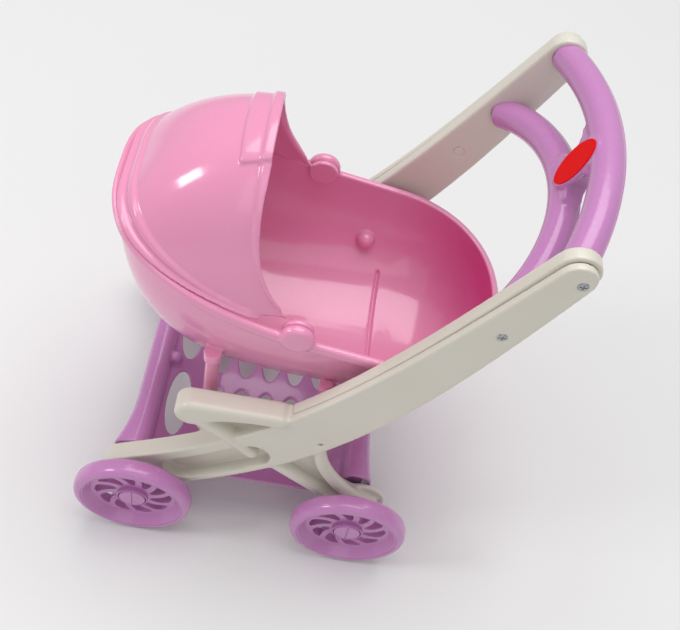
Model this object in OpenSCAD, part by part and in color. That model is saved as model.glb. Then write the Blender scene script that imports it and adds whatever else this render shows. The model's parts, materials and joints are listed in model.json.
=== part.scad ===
/* [Wheels] */
// Outer diameter of each wheel
wheel_d = 104; // [96:1:108]
// Width of each wheel across the tyre
wheel_w = 24; // [20:0.5:26]
// Distance from the front axle to the rear axle
wheelbase = 192; // [188:1:196]
// Diameter of the steel axle rods
axle_d = 5; // [4:0.5:6]
// Number of windows in each wheel disc
window_count = 10; // [8:1:12]
// Depth of the dish from the tyre face to the wheel disc
dish_depth = 9; // [7:0.5:10]
// Radius of the snap cap over each hub
hub_cap_r = 11.8; // [11:0.2:12.6]

/* [Side frames] */
// Distance from the middle of the stroller to the inner face of a side frame
frame_in_x = 101.6; // [101:0.2:105]
// Width of a side frame across the stroller
frame_w = 17; // [16:0.5:18]
// Width of the inner cover that closes each upper arm
cover_w = 10.4; // [9:0.2:11]
// Thickness of the web that closes the back of the recesses
web_t = 5; // [3:0.5:7]
// Half the depth of the arm at its front end
arm_half_front = 24; // [22:0.5:26]
// Half the depth of the arm at its upper tip
arm_half_tip = 13; // [12.5:0.25:15]
// Height of the platform under the cot
platform_z = 192; // [189:0.5:195]
// Thickness of the platform bar
platform_t = 14; // [12:0.5:16]
// Depth of the bar of the diagonal brace
diagonal_w = 15; // [12:0.5:17]

/* [Handle] */
// Radius of the two handle tubes
tube_r = 12; // [11:0.25:12.5]
// Wall of the moulded handle shells
tube_wall = 2.2; // [1.8:0.1:3]
// Bulge of the upper tube behind the line through its ends
upper_bulge = 23; // [18:0.5:28]
// Bulge of the lower tube behind the line through its ends
lower_bulge = 45; // [40:0.5:48]
// Half length of the oval badge, from tube to tube
badge_half_l = 25; // [20:0.5:26]
// Half width of the oval badge
badge_half_w = 15; // [12:0.5:16]

/* [Cot] */
// Half width of the cot over its rim
cot_half_w = 95; // [93:0.5:97]
// How far the rim stands out from the wall
rim_out = 4; // [3:0.5:5]
// Height of the turned-down outer edge of the rim
rim_h = 9; // [7:0.5:11]
// Wall of the moulded cot and hood
cot_wall = 2.6; // [2:0.1:3.2]
// Height of the underside of the cot floor
floor_z = 158; // [155:0.5:161]
// Height of the rim at the hood pivot
rim_z = 265; // [262:0.5:268]
// Radius of the round pivot boss on the rim
boss_r = 14; // [12:0.5:15]
// Radius of a post where it enters its socket
post_r = 6.6; // [6:0.1:7]

/* [Hood] */
// Half width of the arch at the open end of the hood
hood_half_w = 82; // [79:0.25:84]
// Height of the arch above the hood pivot
hood_rise = 133; // [125:1:136]
// Radius of the moulded pivot pin
hood_pin_r = 3; // [2.5:0.25:4]

/* [Basket] */
// Height of the underside of the basket floor
basket_z = 46; // [42:0.5:50]
// Thickness of the basket sheet
basket_t = 3; // [2.5:0.25:4]
// Number of oval holes along each half of the floor
hole_count = 5; // [3:1:5]
// Width of the oval holes
hole_w = 18; // [14:0.5:20]

/* [Fits] */
// Radial clearance of a running fit
run_gap = 0.05; // [0.02:0.01:0.1]
// Clearance between fixed parts that meet face to face
seat_gap = 0.1; // [0.05:0.05:0.2]
// Clearance between moving faces
free_gap = 0.8; // [0.4:0.1:1.2]

/* [Hidden] */

PINK = [0.95, 0.62, 0.78];
LILAC = [0.77, 0.52, 0.77];
CREAM = [0.83, 0.81, 0.75];
STEEL = [0.7, 0.7, 0.72];
RED = [0.9, 0.05, 0.05];

round_fn = 64;

// ---- small mathematics ----
function lerp(a, b, t) = a + (b - a) * t;
function samples(n) = [for (i = [0:n]) i / n];
function unit(v) = v / norm(v);
function left_normal(v) = [-v[1], v[0]];
function clamp(v, low, high) = min(max(v, low), high);
function bezier(p, t) = p[0] * pow(1 - t, 3) + p[1] * 3 * t * pow(1 - t, 2)
                      + p[2] * 3 * t * t * (1 - t) + p[3] * pow(t, 3);
// Middle of a ring of points
function middle(r) = [for (k = [0:2]) (min([for (p = r) p[k]]) + max([for (p = r) p[k]])) / 2];
// Point at angle a on a unit superellipse of exponent n
function super_point(a, n) =
    [cos(a), sin(a)] * pow(pow(abs(cos(a)), n) + pow(abs(sin(a)), n), -1 / n);

// Direction of a sampled line at point i
function heading(c, i) = unit(c[min(i + 1, len(c) - 1)] - c[max(i - 1, 0)]);

// Outline of a bar along the points i0 to i1 of the line c, with half widths h, made narrower by d.
// An end with one step is flat, and one with more steps is round.
function bar_outline(c, h, d, i0, i1, start_steps, end_steps) =
    let (t0 = heading(c, i0), t1 = heading(c, i1))
    concat(
        [for (i = [i0:i1]) c[i] - left_normal(heading(c, i)) * (h[i] - d)],
        end_steps < 2 ? [] : [for (k = [1:end_steps - 1]) let (a = -90 + 180 * k / end_steps)
            c[i1] + (h[i1] - d) * (t1 * cos(a) + left_normal(t1) * sin(a))],
        [for (i = [i1:-1:i0]) c[i] + left_normal(heading(c, i)) * (h[i] - d)],
        start_steps < 2 ? [] : [for (k = [1:start_steps - 1]) let (a = 90 + 180 * k / start_steps)
            c[i0] + (h[i0] - d) * (t0 * cos(a) + left_normal(t0) * sin(a))]);

// Solid through rings that all have the same number of points, with ends fanned from a middle point
module skin(rings) {
    n = len(rings[0]);
    m = len(rings);
    sides = [for (j = [0:m - 2]) for (i = [0:n - 1]) let (a = j * n + i, b = j * n + (i + 1) % n)
             for (f = [[a, b + n, b], [a, a + n, b + n]]) f];
    caps = concat([for (i = [0:n - 1]) [i, (i + 1) % n, m * n]],
                  [for (i = [0:n - 1]) [(m - 1) * n + (i + 1) % n, (m - 1) * n + i, m * n + 1]]);
    middles = [middle(rings[0]), middle(rings[m - 1])];
    polyhedron(concat([for (r = rings) for (p = r) p], middles), concat(sides, caps), convexity = 6);
}

// Solid sheet between two grids of points that have the same rows and columns
module sheet(outer, inner) {
    m = len(outer);
    n = len(outer[0]);
    k = m * n;
    function at(j, i) = j * n + i;
    grid = [for (j = [0:m - 2]) for (i = [0:n - 2])
            for (f = [[at(j, i), at(j + 1, i), at(j + 1, i + 1)], [at(j, i), at(j + 1, i + 1), at(j, i + 1)]]) f];
    back = [for (f = grid) [f[2] + k, f[1] + k, f[0] + k]];
    edge = concat([for (i = [0:n - 1]) at(0, i)], [for (j = [1:m - 1]) at(j, n - 1)],
                  [for (i = [n - 2:-1:0]) at(m - 1, i)], [for (j = [m - 2:-1:1]) at(j, 0)]);
    e = len(edge);
    border = [for (i = [0:e - 1]) let (a = edge[i], b = edge[(i + 1) % e])
              for (f = [[a, b, b + k], [a, b + k, a + k]]) f];
    polyhedron([for (g = [outer, inner]) for (r = g) for (p = r) p], concat(grid, back, border), convexity = 8);
}

// Plate in the side plane, from x0 to x1
module side_plate(points, x0, x1)
    translate([x0, 0, 0]) rotate([90, 0, 90]) linear_extrude(x1 - x0) polygon(points);

// Cylinder across the stroller, from x0 to x1, at p = [y, z]
module cross_cylinder(r, x0, x1, p, fn = round_fn)
    translate([x0, p[0], p[1]]) rotate([0, 90, 0]) cylinder(r = r, h = x1 - x0, $fn = fn);

// Round bar in the side plane from a to b, [y, z], with round ends and its middle at x
module finger(a, b, r, x) {
    length = norm(b - a);
    translate([x, a[0], a[1]]) rotate([-atan2(b[0] - a[0], b[1] - a[1]), 0, 0]) rotate_extrude($fn = 48)
        intersection() {
            union() {
                square([r, length]);
                circle(r, $fn = 48);
                translate([0, length]) circle(r, $fn = 48);
            }
            translate([0, -r]) square([r, length + 2 * r]);
        }
}

// Disc across the stroller with a rounded outer edge of radius e at x1
module rounded_disc(r, x0, x1, p, e)
    translate([x0, p[0], p[1]]) rotate([0, 90, 0]) rotate_extrude($fn = round_fn)
        union() {
            square([r - e, x1 - x0]);
            square([r, x1 - x0 - e]);
            translate([r - e, x1 - x0 - e]) intersection() {
                circle(e, $fn = 32);
                square(e);
            }
        }

// ---- layout in the side plane: y from the front axle, z from the ground ----
wheel_r = wheel_d / 2;
axle_r = axle_d / 2;
frame_out_x = frame_in_x + frame_w;
seam_x = frame_in_x + cover_w;
wheel_in_x = frame_out_x + free_gap;
wheel_out_x = wheel_in_x + wheel_w;
front_axle_at = [0, wheel_r];
rear_axle_at = [wheelbase, wheel_r];

arm_points = [[-8, 60], [137, 132], [192, 225], [282, 412]];
arm_half_mid = 31;
arm_steps = 18;
arm_line = [for (t = samples(arm_steps)) bezier(arm_points, t)];
arm_halves = [for (t = samples(arm_steps))
    arm_half_front * pow(1 - t, 2) + 2 * arm_half_mid * t * (1 - t) + arm_half_tip * t * t];
cover_start = 8;
// The cover stands out from the arm as a collar round the tube ends
collar_proud = 2.6;
cover_inset = 0.3;
function cover_share(i) = clamp((i - cover_start) / (arm_steps - cover_start), 0, 1);
cover_halves = [for (i = [0:arm_steps]) arm_halves[i] - cover_inset + (collar_proud + cover_inset) * pow(cover_share(i), 2)];

// Channel in the outer face of the front of the arm
channel_floor_x = frame_in_x + web_t;
channel_line = [for (i = [0:5]) arm_line[i] - left_normal(heading(arm_line, i)) * 3.4];
channel_halves = [for (i = [0:5]) arm_halves[i] - 9.4];

corner_r = 15;
corner_at = [46, platform_z - corner_r];
platform_end_y = 123;
platform_steps = 6;
platform_halves = [for (t = samples(platform_steps))
    platform_t / 2 + (corner_r - platform_t / 2) * pow(1 - t, 3)];
platform_line = [for (i = [0:platform_steps])
    [lerp(corner_at[0], platform_end_y - platform_t / 2, i / platform_steps), platform_z - platform_halves[i]]];
platform_proud = 0.6;
brace_start = [45, 172];
brace_end = [74, 149];
brace_finger_end = [98, 125.5];
finger_r = diagonal_w / 2;
finger_x = frame_out_x - finger_r + 0.3;
flange_bend_at = [261, 160];
flange_bend_r = 110;
flange_r = 6;
flange_x = frame_out_x - flange_r - 0.2;
axle_boss_r = 9;
axle_boss_proud = 0.3;
foot_at = [199, 56];
foot_r = 23;
spare_hole_at = [152, 161];

upper_end = [283, 412.5];
lower_end = [252, 349];
upper_tilt = 28;
lower_tilt = 35;
handle_screw_at = [[286.5, 408], [252.5, 343]];
cover_screw_steps = [11, 14];
screw_r = 1.75;
screw_head_r = 4;
screw_head_h = 1.8;

// The middle of the stroller in plan, between the front of the wheels and the back of the handle
rearmost_y = upper_end[0] + upper_bulge * cos(upper_tilt) + tube_r;
middle_y = (rearmost_y - wheel_r) / 2;
module placed() translate([0, -middle_y, 0]) children();
module right_side() mirror([1, 0, 0]) children();
module both_sides() {
    children();
    mirror([1, 0, 0]) children();
}

// ---- side frames ----
post_x = 86;
post_y = [55, 148.5];
post_top_z = [210, 196];
cup_r = 10;
cup_h = 26;
cup_top_z = [136, 166];
cup_floor = 4;

module post_cup(i)
    difference() {
        union() {
            translate([post_x, post_y[i], cup_top_z[i] - cup_h]) cylinder(r = cup_r, h = cup_h, $fn = round_fn);
            translate([post_x, post_y[i] - 4, cup_top_z[i] - cup_h])
                cube([frame_in_x + 1 - post_x, 8, cup_h - 12]);
        }
        translate([post_x, post_y[i], cup_top_z[i] - cup_h + cup_floor])
            cylinder(r = post_r + run_gap, h = cup_h, $fn = round_fn);
    }

module frame_plates() {
    // Recessed webs behind the platform and in the rear leg
    side_plate([corner_at, [platform_end_y - 2, platform_z - 8], [platform_end_y, 166], [80, 140]],
               frame_in_x + 0.4, channel_floor_x - 0.3);
    side_plate([[112, 118], [150, 150], [153, 126], [162, 105], [180, 84], [214, 62], [190, 40], [160, 74]],
               frame_in_x + 0.5, channel_floor_x - 0.2);
    cross_cylinder(foot_r, frame_in_x + 0.2, channel_floor_x - 0.1, foot_at);
    for (p = [front_axle_at, rear_axle_at])
        cross_cylinder(axle_boss_r, frame_in_x - 0.15, frame_out_x + axle_boss_proud, p);
}

module frame_bars() {
    // Arm: full width at the front, an outer half behind the cover further up, with a channel in its front
    difference() {
        union() {
            side_plate(bar_outline(arm_line, arm_halves, 0, 0, cover_start, 8, 1), frame_in_x, seam_x + 1);
            side_plate(bar_outline(arm_line, arm_halves, 0, 0, arm_steps, 8, 8), seam_x, frame_out_x);
        }
        side_plate(bar_outline(channel_line, channel_halves, 0, 2, 5, 8, 8), channel_floor_x, frame_out_x + 1);
    }
    // Platform with its rounded front corner
    side_plate(bar_outline(platform_line, platform_halves, 0, 0, platform_steps, 12, 8),
               frame_in_x - 0.1, frame_out_x + platform_proud);
    // Diagonal brace: a finger down to the arm, a shorter one in the channel and a bar to the rear axle
    finger(brace_start, brace_end, finger_r, finger_x);
    finger(brace_end, brace_finger_end, finger_r - 1.5, finger_x - 1.5);
    finger([118, 111], rear_axle_at, finger_r - 0.5, finger_x);
    // Curved flange behind the rear leg
    translate([flange_x, flange_bend_at[0], flange_bend_at[1]]) rotate([90, 0, 90]) rotate([0, 0, 179])
        rotate_extrude(angle = 65, $fn = 96) translate([flange_bend_r, 0]) circle(flange_r, $fn = 32);
}

module side_frame()
    difference() {
        union() {
            frame_bars();
            frame_plates();
            post_cup(0);
            post_cup(1);
        }
        // Axles, spare hole and screws
        cross_cylinder(axle_r + run_gap, frame_in_x - 1, frame_out_x + 1, front_axle_at);
        cross_cylinder(axle_r + run_gap, frame_in_x - 1, frame_out_x + 1, rear_axle_at);
        cross_cylinder(2.2, frame_in_x + 2, frame_out_x + 1, spare_hole_at);
        for (p = handle_screw_at) {
            cross_cylinder(screw_r + run_gap, seam_x - 1, frame_out_x + 1, p);
            cross_cylinder(screw_head_r + 0.4, frame_out_x - screw_head_h, frame_out_x + 1, p);
        }
        for (i = cover_screw_steps)
            cross_cylinder(screw_r + run_gap, seam_x - 1, seam_x + 4, arm_line[i]);
    }

module arm_cover()
    difference() {
        side_plate(bar_outline(arm_line, cover_halves, 0, cover_start, arm_steps, 1, 12),
                   frame_in_x, seam_x - seat_gap);
        cross_cylinder(plug_r + run_gap, frame_in_x - 1, seam_x, upper_end);
        cross_cylinder(plug_r + run_gap, frame_in_x - 1, seam_x, lower_end);
        for (i = cover_screw_steps) {
            cross_cylinder(screw_r + run_gap, frame_in_x - 1, seam_x, arm_line[i]);
            cross_cylinder(screw_head_r + 0.4, frame_in_x - 1, frame_in_x + screw_head_h, arm_line[i]);
        }
    }

module frame_left() placed() color(CREAM) side_frame();
module frame_right() placed() color(CREAM) right_side() side_frame();
module arm_cover_left() placed() color(CREAM) translate([-seat_gap / 2, 0, 0]) arm_cover();
module arm_cover_right() placed() color(CREAM) right_side() translate([-seat_gap / 2, 0, 0]) arm_cover();

// ---- screws ----
// Cross-head screw along +X with the seat of its head at the origin
module screw(length) {
    difference() {
        rotate([0, 90, 0]) rotate_extrude($fn = 32)
            polygon([[0, 0], [screw_head_r, 0], [screw_head_r, 0.7],
                     [screw_head_r * 0.75, screw_head_h * 0.85], [0, screw_head_h]]);
        for (a = [0, 90]) rotate([a, 0, 0]) translate([screw_head_h * 0.5, -2.4, -0.45]) cube([3, 4.8, 0.9]);
    }
    translate([-length, 0, 0]) rotate([0, 90, 0]) cylinder(r = screw_r, h = length + 0.1, $fn = 32);
}

module handle_screws() placed() color(STEEL) both_sides()
    for (p = handle_screw_at)
        translate([frame_out_x - screw_head_h + 0.05, p[0], p[1]]) screw(14);

module cover_screws() placed() color(STEEL) both_sides()
    for (i = cover_screw_steps)
        translate([frame_in_x + screw_head_h - 0.05, arm_line[i][0], arm_line[i][1]])
            mirror([1, 0, 0]) screw(11);

// ---- handle ----
plug_r = 10.2;
tube_end_x = frame_in_x - 0.4;
function arc_r(bulge) = (pow(frame_in_x, 2) + bulge * bulge) / (2 * bulge);

// Places a tube drawn round the Z axis, with its ends on the line through p and its bulge tilted up
module at_tube(p, bulge, tilt)
    translate([0, p[0], p[1]]) rotate([tilt, 0, 0]) translate([0, bulge - arc_r(bulge), 0]) children();

// One half of a bent tube: above its own plane for side = 1, below for side = -1
module half_tube(bulge, side) {
    half_angle = asin(frame_in_x / arc_r(bulge)) + 4;
    rotate([0, 0, 90 - half_angle]) rotate_extrude(angle = 2 * half_angle, $fn = 96)
        translate([arc_r(bulge), 0]) intersection() {
            difference() {
                circle(tube_r, $fn = 48);
                circle(tube_r - tube_wall, $fn = 48);
            }
            translate([-tube_r, side > 0 ? 0.05 : -tube_r - 0.05]) square([2 * tube_r, tube_r]);
        }
}

upper_mid = upper_end + upper_bulge * [cos(upper_tilt), sin(upper_tilt)];
lower_mid = lower_end + lower_bulge * [cos(lower_tilt), sin(lower_tilt)];
plate_up = unit(upper_mid - lower_mid);
plate_gap = norm(upper_mid - lower_mid);
plate_face = tube_r + 0.9;
plate_t = 3.6;
badge_margin = 2;
badge_t = 1;
web_half_l = 25;
web_half_t = 5;
web_end_r = 10;

// Places a piece drawn in the XY plane on the plate between the tubes, with +Z towards the cot
module at_plate()
    translate([0, (upper_mid[0] + lower_mid[0]) / 2, (upper_mid[1] + lower_mid[1]) / 2])
        rotate([90 - atan2(plate_up[0], plate_up[1]), 0, 0]) children();

function oval(a, b, n = 40) = [for (i = [0:n - 1]) [a * cos(360 * i / n), b * sin(360 * i / n)]];

module end_plugs(p, bulge, tilt, side, screw_at)
    both_sides() difference() {
        intersection() {
            cross_cylinder(plug_r, tube_end_x - 6, seam_x - 2 * seat_gap, p);
            translate([0, p[0], p[1]]) rotate([tilt, 0, 0])
                translate([0, -50, side > 0 ? 0.05 : -50.05]) cube([200, 100, 50]);
        }
        cross_cylinder(screw_r + run_gap, tube_end_x - 7, seam_x, screw_at);
    }

// Oval plate between the tubes, from z0 to z1 over their middle plane and grown by d
module tube_plate(d, z0, z1)
    at_plate() translate([0, 0, z0]) linear_extrude(z1 - z0)
        polygon(oval(badge_half_w + badge_margin + d, badge_half_l + badge_margin + d));

// Solid bent tube of radius r, as wide as the handle
module whole_tube(bulge, r)
    rotate([0, 0, 60]) rotate_extrude(angle = 60, $fn = 96) translate([arc_r(bulge), 0]) circle(r, $fn = 48);

// Web with hollowed ends that joins the upper tube to the back of the plate and rests on the lower tube
module tube_web()
    difference() {
        at_plate() translate([0, 0, -web_half_t]) linear_extrude(web_half_t + plate_face - plate_t - seat_gap)
            difference() {
                square([2 * web_half_l + 16, plate_gap], center = true);
                for (side = [-1, 1]) translate([side * (web_half_l + 8), 0]) circle(web_end_r, $fn = 64);
            }
        at_tube(upper_end, upper_bulge, upper_tilt) {
            whole_tube(upper_bulge, tube_r - tube_wall / 2);
            translate([-100, arc_r(upper_bulge) - 100, -seat_gap / 2]) cube(200);
        }
        at_tube(lower_end, lower_bulge, lower_tilt) whole_tube(lower_bulge, tube_r + seat_gap);
    }

module handle_half(side) {
    intersection() {
        union() {
            at_tube(upper_end, upper_bulge, upper_tilt) half_tube(upper_bulge, side);
            at_tube(lower_end, lower_bulge, lower_tilt) half_tube(lower_bulge, side);
        }
        translate([-tube_end_x, 0, 0]) cube([2 * tube_end_x, 500, 600]);
    }
    end_plugs(upper_end, upper_bulge, upper_tilt, side, handle_screw_at[0]);
    end_plugs(lower_end, lower_bulge, lower_tilt, side, handle_screw_at[1]);
}

module handle_upper_shell() placed() color(LILAC) {
    handle_half(1);
    tube_plate(0, plate_face - plate_t, plate_face);
}
module handle_lower_shell() placed() color(LILAC) difference() {
    union() {
        handle_half(-1);
        tube_web();
    }
    tube_plate(seat_gap, plate_face - plate_t - seat_gap, plate_face + tube_r);
}
module handle_badge() placed() color(RED) at_plate() translate([0, 0, plate_face + 0.02])
    linear_extrude(badge_t) polygon(oval(badge_half_w, badge_half_l));

// ---- axles and wheels ----
hub_r = 12.2;
hub_end = wheel_w - 6;
pocket_r = 9;
pocket_start = 12;
retainer_r = 6.5;
retainer_t = 1;
retainer_x = pocket_start + 0.4;
axle_end = pocket_start + 3.4;

module axle(p)
    cross_cylinder(axle_r, -(wheel_in_x + axle_end), wheel_in_x + axle_end, p);

module front_axle() placed() color(STEEL) axle(front_axle_at);
module rear_axle() placed() color(STEEL) axle(rear_axle_at);
module axle_retainers() placed() color(STEEL) both_sides()
    for (p = [front_axle_at, rear_axle_at])
        difference() {
            cross_cylinder(retainer_r, wheel_in_x + retainer_x, wheel_in_x + retainer_x + retainer_t, p);
            cross_cylinder(axle_r + run_gap, wheel_in_x, wheel_out_x, p);
        }

// Half section of a wheel: radius, then distance from its inner face
disc_w = wheel_w - dish_depth;
disc_t = 3;
disc_r = wheel_r - 17.5;
dish_r = wheel_r - 8.4;
module wheel_section() {
    polygon([[axle_r + run_gap, 0], [hub_r - 2, 0], [hub_r, 8], [hub_r, disc_w - disc_t],
             [disc_r, disc_w - disc_t], [wheel_r - 9, 6], [wheel_r - 7.6, 1.2], [wheel_r - 6, 0],
             [wheel_r - 4.2, 0.2], [wheel_r - 2.2, 0.9], [wheel_r - 0.8, 2.4], [wheel_r, 5],
             [wheel_r, wheel_w - 5], [wheel_r - 0.8, wheel_w - 2.4], [wheel_r - 2.2, wheel_w - 0.9],
             [wheel_r - 4.2, wheel_w - 0.2], [wheel_r - 5.4, wheel_w], [dish_r + 1, wheel_w],
             [dish_r, wheel_w - 0.8], [disc_r + 1.4, disc_w + 0.8], [disc_r + 0.4, disc_w],
             [hub_r, disc_w], [hub_r, hub_end], [pocket_r + run_gap, hub_end], [pocket_r + run_gap, pocket_start],
             [axle_r + run_gap, pocket_start]]);
}

// Window between two curved spokes, n of them round the hub
spoke_half = 3.2;
spoke_lean = 22;
module window(n) {
    side = [for (t = samples(6)) [lerp(hub_r + 2.4, disc_r - 2.4, t), spoke_lean * pow(t, 1.5)]];
    function edge(s, sign) = let (a = s[1] + sign * (180 / n - asin(spoke_half / s[0]))) s[0] * [cos(a), sin(a)];
    polygon(concat([for (s = side) edge(s, -1)], [for (k = [len(side) - 1:-1:0]) edge(side[k], 1)]));
}

module wheel()
    difference() {
        rotate_extrude($fn = 96) wheel_section();
        for (i = [0:window_count - 1])
            rotate([0, 0, 360 * i / window_count]) translate([0, 0, disc_w - disc_t - 1])
                linear_extrude(disc_t + 2) window(window_count);
    }

module at_wheel(p) translate([wheel_in_x, p[0], p[1]]) rotate([0, 90, 0]) children();
module wheel_front_left() placed() color(LILAC) at_wheel(front_axle_at) wheel();
module wheel_front_right() placed() color(LILAC) right_side() at_wheel(front_axle_at) wheel();
module wheel_rear_left() placed() color(LILAC) at_wheel(rear_axle_at) wheel();
module wheel_rear_right() placed() color(LILAC) right_side() at_wheel(rear_axle_at) wheel();

// Snap cap with a screwdriver slot, plugged into the hub pocket
module hub_cap()
    difference() {
        translate([0, 0, hub_end + 0.05]) union() {
            rotate_extrude($fn = 64)
                polygon([[0, 0], [hub_cap_r, 0], [hub_cap_r, 1.2], [hub_cap_r - 1.2, 2.2], [0, 2.8]]);
            translate([0, 0, -2]) difference() {
                cylinder(r = pocket_r, h = 3, $fn = 64);
                translate([0, 0, -1]) cylinder(r = pocket_r - 2, h = 3, $fn = 64);
            }
        }
        translate([-hub_cap_r - 1, -0.4, hub_end + 2.3]) cube([2 * hub_cap_r + 2, 0.8, 3]);
    }

module hub_cap_front_left() placed() color(LILAC) at_wheel(front_axle_at) hub_cap();
module hub_cap_front_right() placed() color(LILAC) right_side() at_wheel(front_axle_at) hub_cap();
module hub_cap_rear_left() placed() color(LILAC) at_wheel(rear_axle_at) hub_cap();
module hub_cap_rear_right() placed() color(LILAC) right_side() at_wheel(rear_axle_at) hub_cap();

// ---- basket ----
basket_half_w = frame_in_x - 0.3;
floor_mid = basket_z + basket_t / 2;
basket_line = [[-11.5, 42], [-11.5, 76], [-10.5, 80], [-6, 83], [-1, 80.5], [12, 70], [27, 61], [42, 54],
               [54, floor_mid + 0.8], [66, floor_mid], [150, floor_mid], [160, floor_mid + 2], [170, 57],
               [179, 72], [184, 82], [191, 86], [198, 82.5], [200, 76], [200, 42]];
basket_halves = [for (p = basket_line) basket_t / 2];
rib_x = [30, 92];
rib_t = 3;
hole_pitch = 24;
hole_len = 66;
hole_x = 42;
first_hole_y = 53;

skirt_z = 41.8;
flare_in_x = 48;
flare_steps = 8;

// Plan of one flared end, [x, y]: swells from the hump at face_y by reach, and is t thick
function flare_plan(face_y, reach, t) =
    let (s = reach > 0 ? 1 : -1,
         line = [for (u = samples(flare_steps))
             [lerp(flare_in_x, basket_half_w - 0.2, u), face_y + reach * pow(u, 2)]])
    concat(line, [for (k = [flare_steps:-1:0]) [line[k][0], t > 0 ? line[k][1] - s * t : face_y - s * basket_t]]);

// Flared ends of a hump: a curved skirt with a lid at its top
module flares(face_y, reach, top_z)
    both_sides() {
        translate([0, 0, skirt_z]) linear_extrude(top_z - skirt_z - 0.2)
            polygon(flare_plan(face_y, reach, basket_t));
        translate([0, 0, top_z - basket_t]) linear_extrude(basket_t) polygon(flare_plan(face_y, reach, 0));
    }

// Oval hole with its long way across the stroller
module slot(length, width)
    union() {
        square([length - width, width], center = true);
        for (s = [-1, 1]) translate([s * (length - width) / 2, 0]) circle(d = width, $fn = 48);
    }

module basket() placed() color(LILAC)
    difference() {
        union() {
            side_plate(bar_outline(basket_line, basket_halves, 0, 0, len(basket_line) - 1, 1, 1),
                       -basket_half_w, basket_half_w);
            // Ribs that sit on the axles
            for (x = rib_x) both_sides() {
                side_plate([[-12, 44], [-12, 76], [-6, 82], [0, 79], [14, 68], [8, 44]], x, x + rib_t);
                side_plate([[182, 44], [180, 72], [185, 82], [191, 85], [199, 80], [200, 44]], x, x + rib_t);
            }
            translate([0, 11, 60]) cylinder(r = 5.5, h = 19, $fn = 48);
            flares(-12.9, -10, 79);
            flares(201.4, 5, 79);
        }
        for (s = [-1, 1]) {
            for (i = [0:hole_count - 1])
                translate([s * hole_x, first_hole_y + i * hole_pitch, basket_z - 5])
                    linear_extrude(20) slot(hole_len, hole_w);
            translate([s * hole_x, 21, 50]) linear_extrude(30) slot(hole_len, hole_w + 2);
        }
        cross_cylinder(axle_r + run_gap, -frame_in_x, frame_in_x, front_axle_at);
        cross_cylinder(axle_r + run_gap, -frame_in_x, frame_in_x, rear_axle_at);
    }

// ---- cot ----
pivot_at = [117, rim_z];
foot_y = 186;
head_l = 153;
foot_l = 93;
head_power = 3;
foot_power = 2.2;
end_steps = 18;
side_steps = 4;
depth_steps = 8;
wall_inset = rim_out;
section_power = 0.8;
end_power = 0.77;
stud_r = 8;
stud_at = [75, 165, 196];
slot_half_l = 62;
slot_y = 180;
slot_w = 3;

function rim_height(y) = y > pivot_at[0] ? rim_z - 0.17 * (y - pivot_at[0])
    : rim_z + 0.25 * (pivot_at[0] - y) + 0.001 * pow(pivot_at[0] - y, 2);

// Plan of the cot, made smaller by d, counted anticlockwise from the left pivot
function cot_plan(d) = concat(
    [for (k = [0:side_steps - 1]) [cot_half_w - d, lerp(pivot_at[0], foot_y, k / side_steps)]],
    [for (k = [0:end_steps]) let (s = super_point(180 * k / end_steps, foot_power))
        [(cot_half_w - d) * s[0], foot_y + (foot_l - d) * s[1]]],
    [for (k = [1:side_steps]) [-(cot_half_w - d), lerp(foot_y, pivot_at[0], k / side_steps)]],
    [for (k = [1:end_steps - 1]) let (s = super_point(180 + 180 * k / end_steps, head_power))
        [(cot_half_w - d) * s[0], pivot_at[0] + (head_l - d) * s[1]]]);

// Ring of the wall, from k = 0 at the rim to k = depth_steps at the floor height bottom_z
function wall_ring(d, k, bottom_z) =
    let (a = 90 * k / depth_steps, last = k == depth_steps,
         across = last ? 0.12 : pow(cos(a), section_power), along = last ? 0.3 : pow(cos(a), end_power),
         drop = last ? 1 : pow(sin(a), section_power))
    [for (p = cot_plan(d)) let (spine = clamp(p[1], pivot_at[0], foot_y), top = rim_height(p[1]))
        [p[0] * across, spine + (p[1] - spine) * along, lerp(top, bottom_z, drop)]];

function rim_ring(d, drop) = [for (p = cot_plan(d)) [p[0], p[1], rim_height(p[1]) - drop]];

module tub_shell()
    skin(concat(
        [for (k = [depth_steps:-1:1]) wall_ring(wall_inset, k, floor_z)],
        [rim_ring(wall_inset, rim_h - 1), rim_ring(0.6, rim_h), rim_ring(0, rim_h - 1), rim_ring(0, 2.6),
         rim_ring(0.9, 0.8), rim_ring(3, 0), rim_ring(wall_inset + cot_wall - 1, 0.3),
         rim_ring(wall_inset + cot_wall, 1.2)],
        [for (k = [1:depth_steps]) wall_ring(wall_inset + cot_wall, k, floor_z + cot_wall)]));

// Space inside the middle of the wall, open upwards
module tub_core() {
    d = wall_inset + cot_wall / 2;
    skin(concat([for (k = [depth_steps:-1:0]) wall_ring(d, k, floor_z + cot_wall / 2)],
                [[for (p = cot_plan(d)) [p[0], p[1], 400]]]));
}

post_boss_r = 7.4;
post_boss_h = 14;
post_tip_r = 4;
post_tip_h = 8;
pivot_boss_in_x = cot_half_w - wall_inset - cot_wall;
pivot_boss_out_x = cot_half_w + 1.5;

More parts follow.
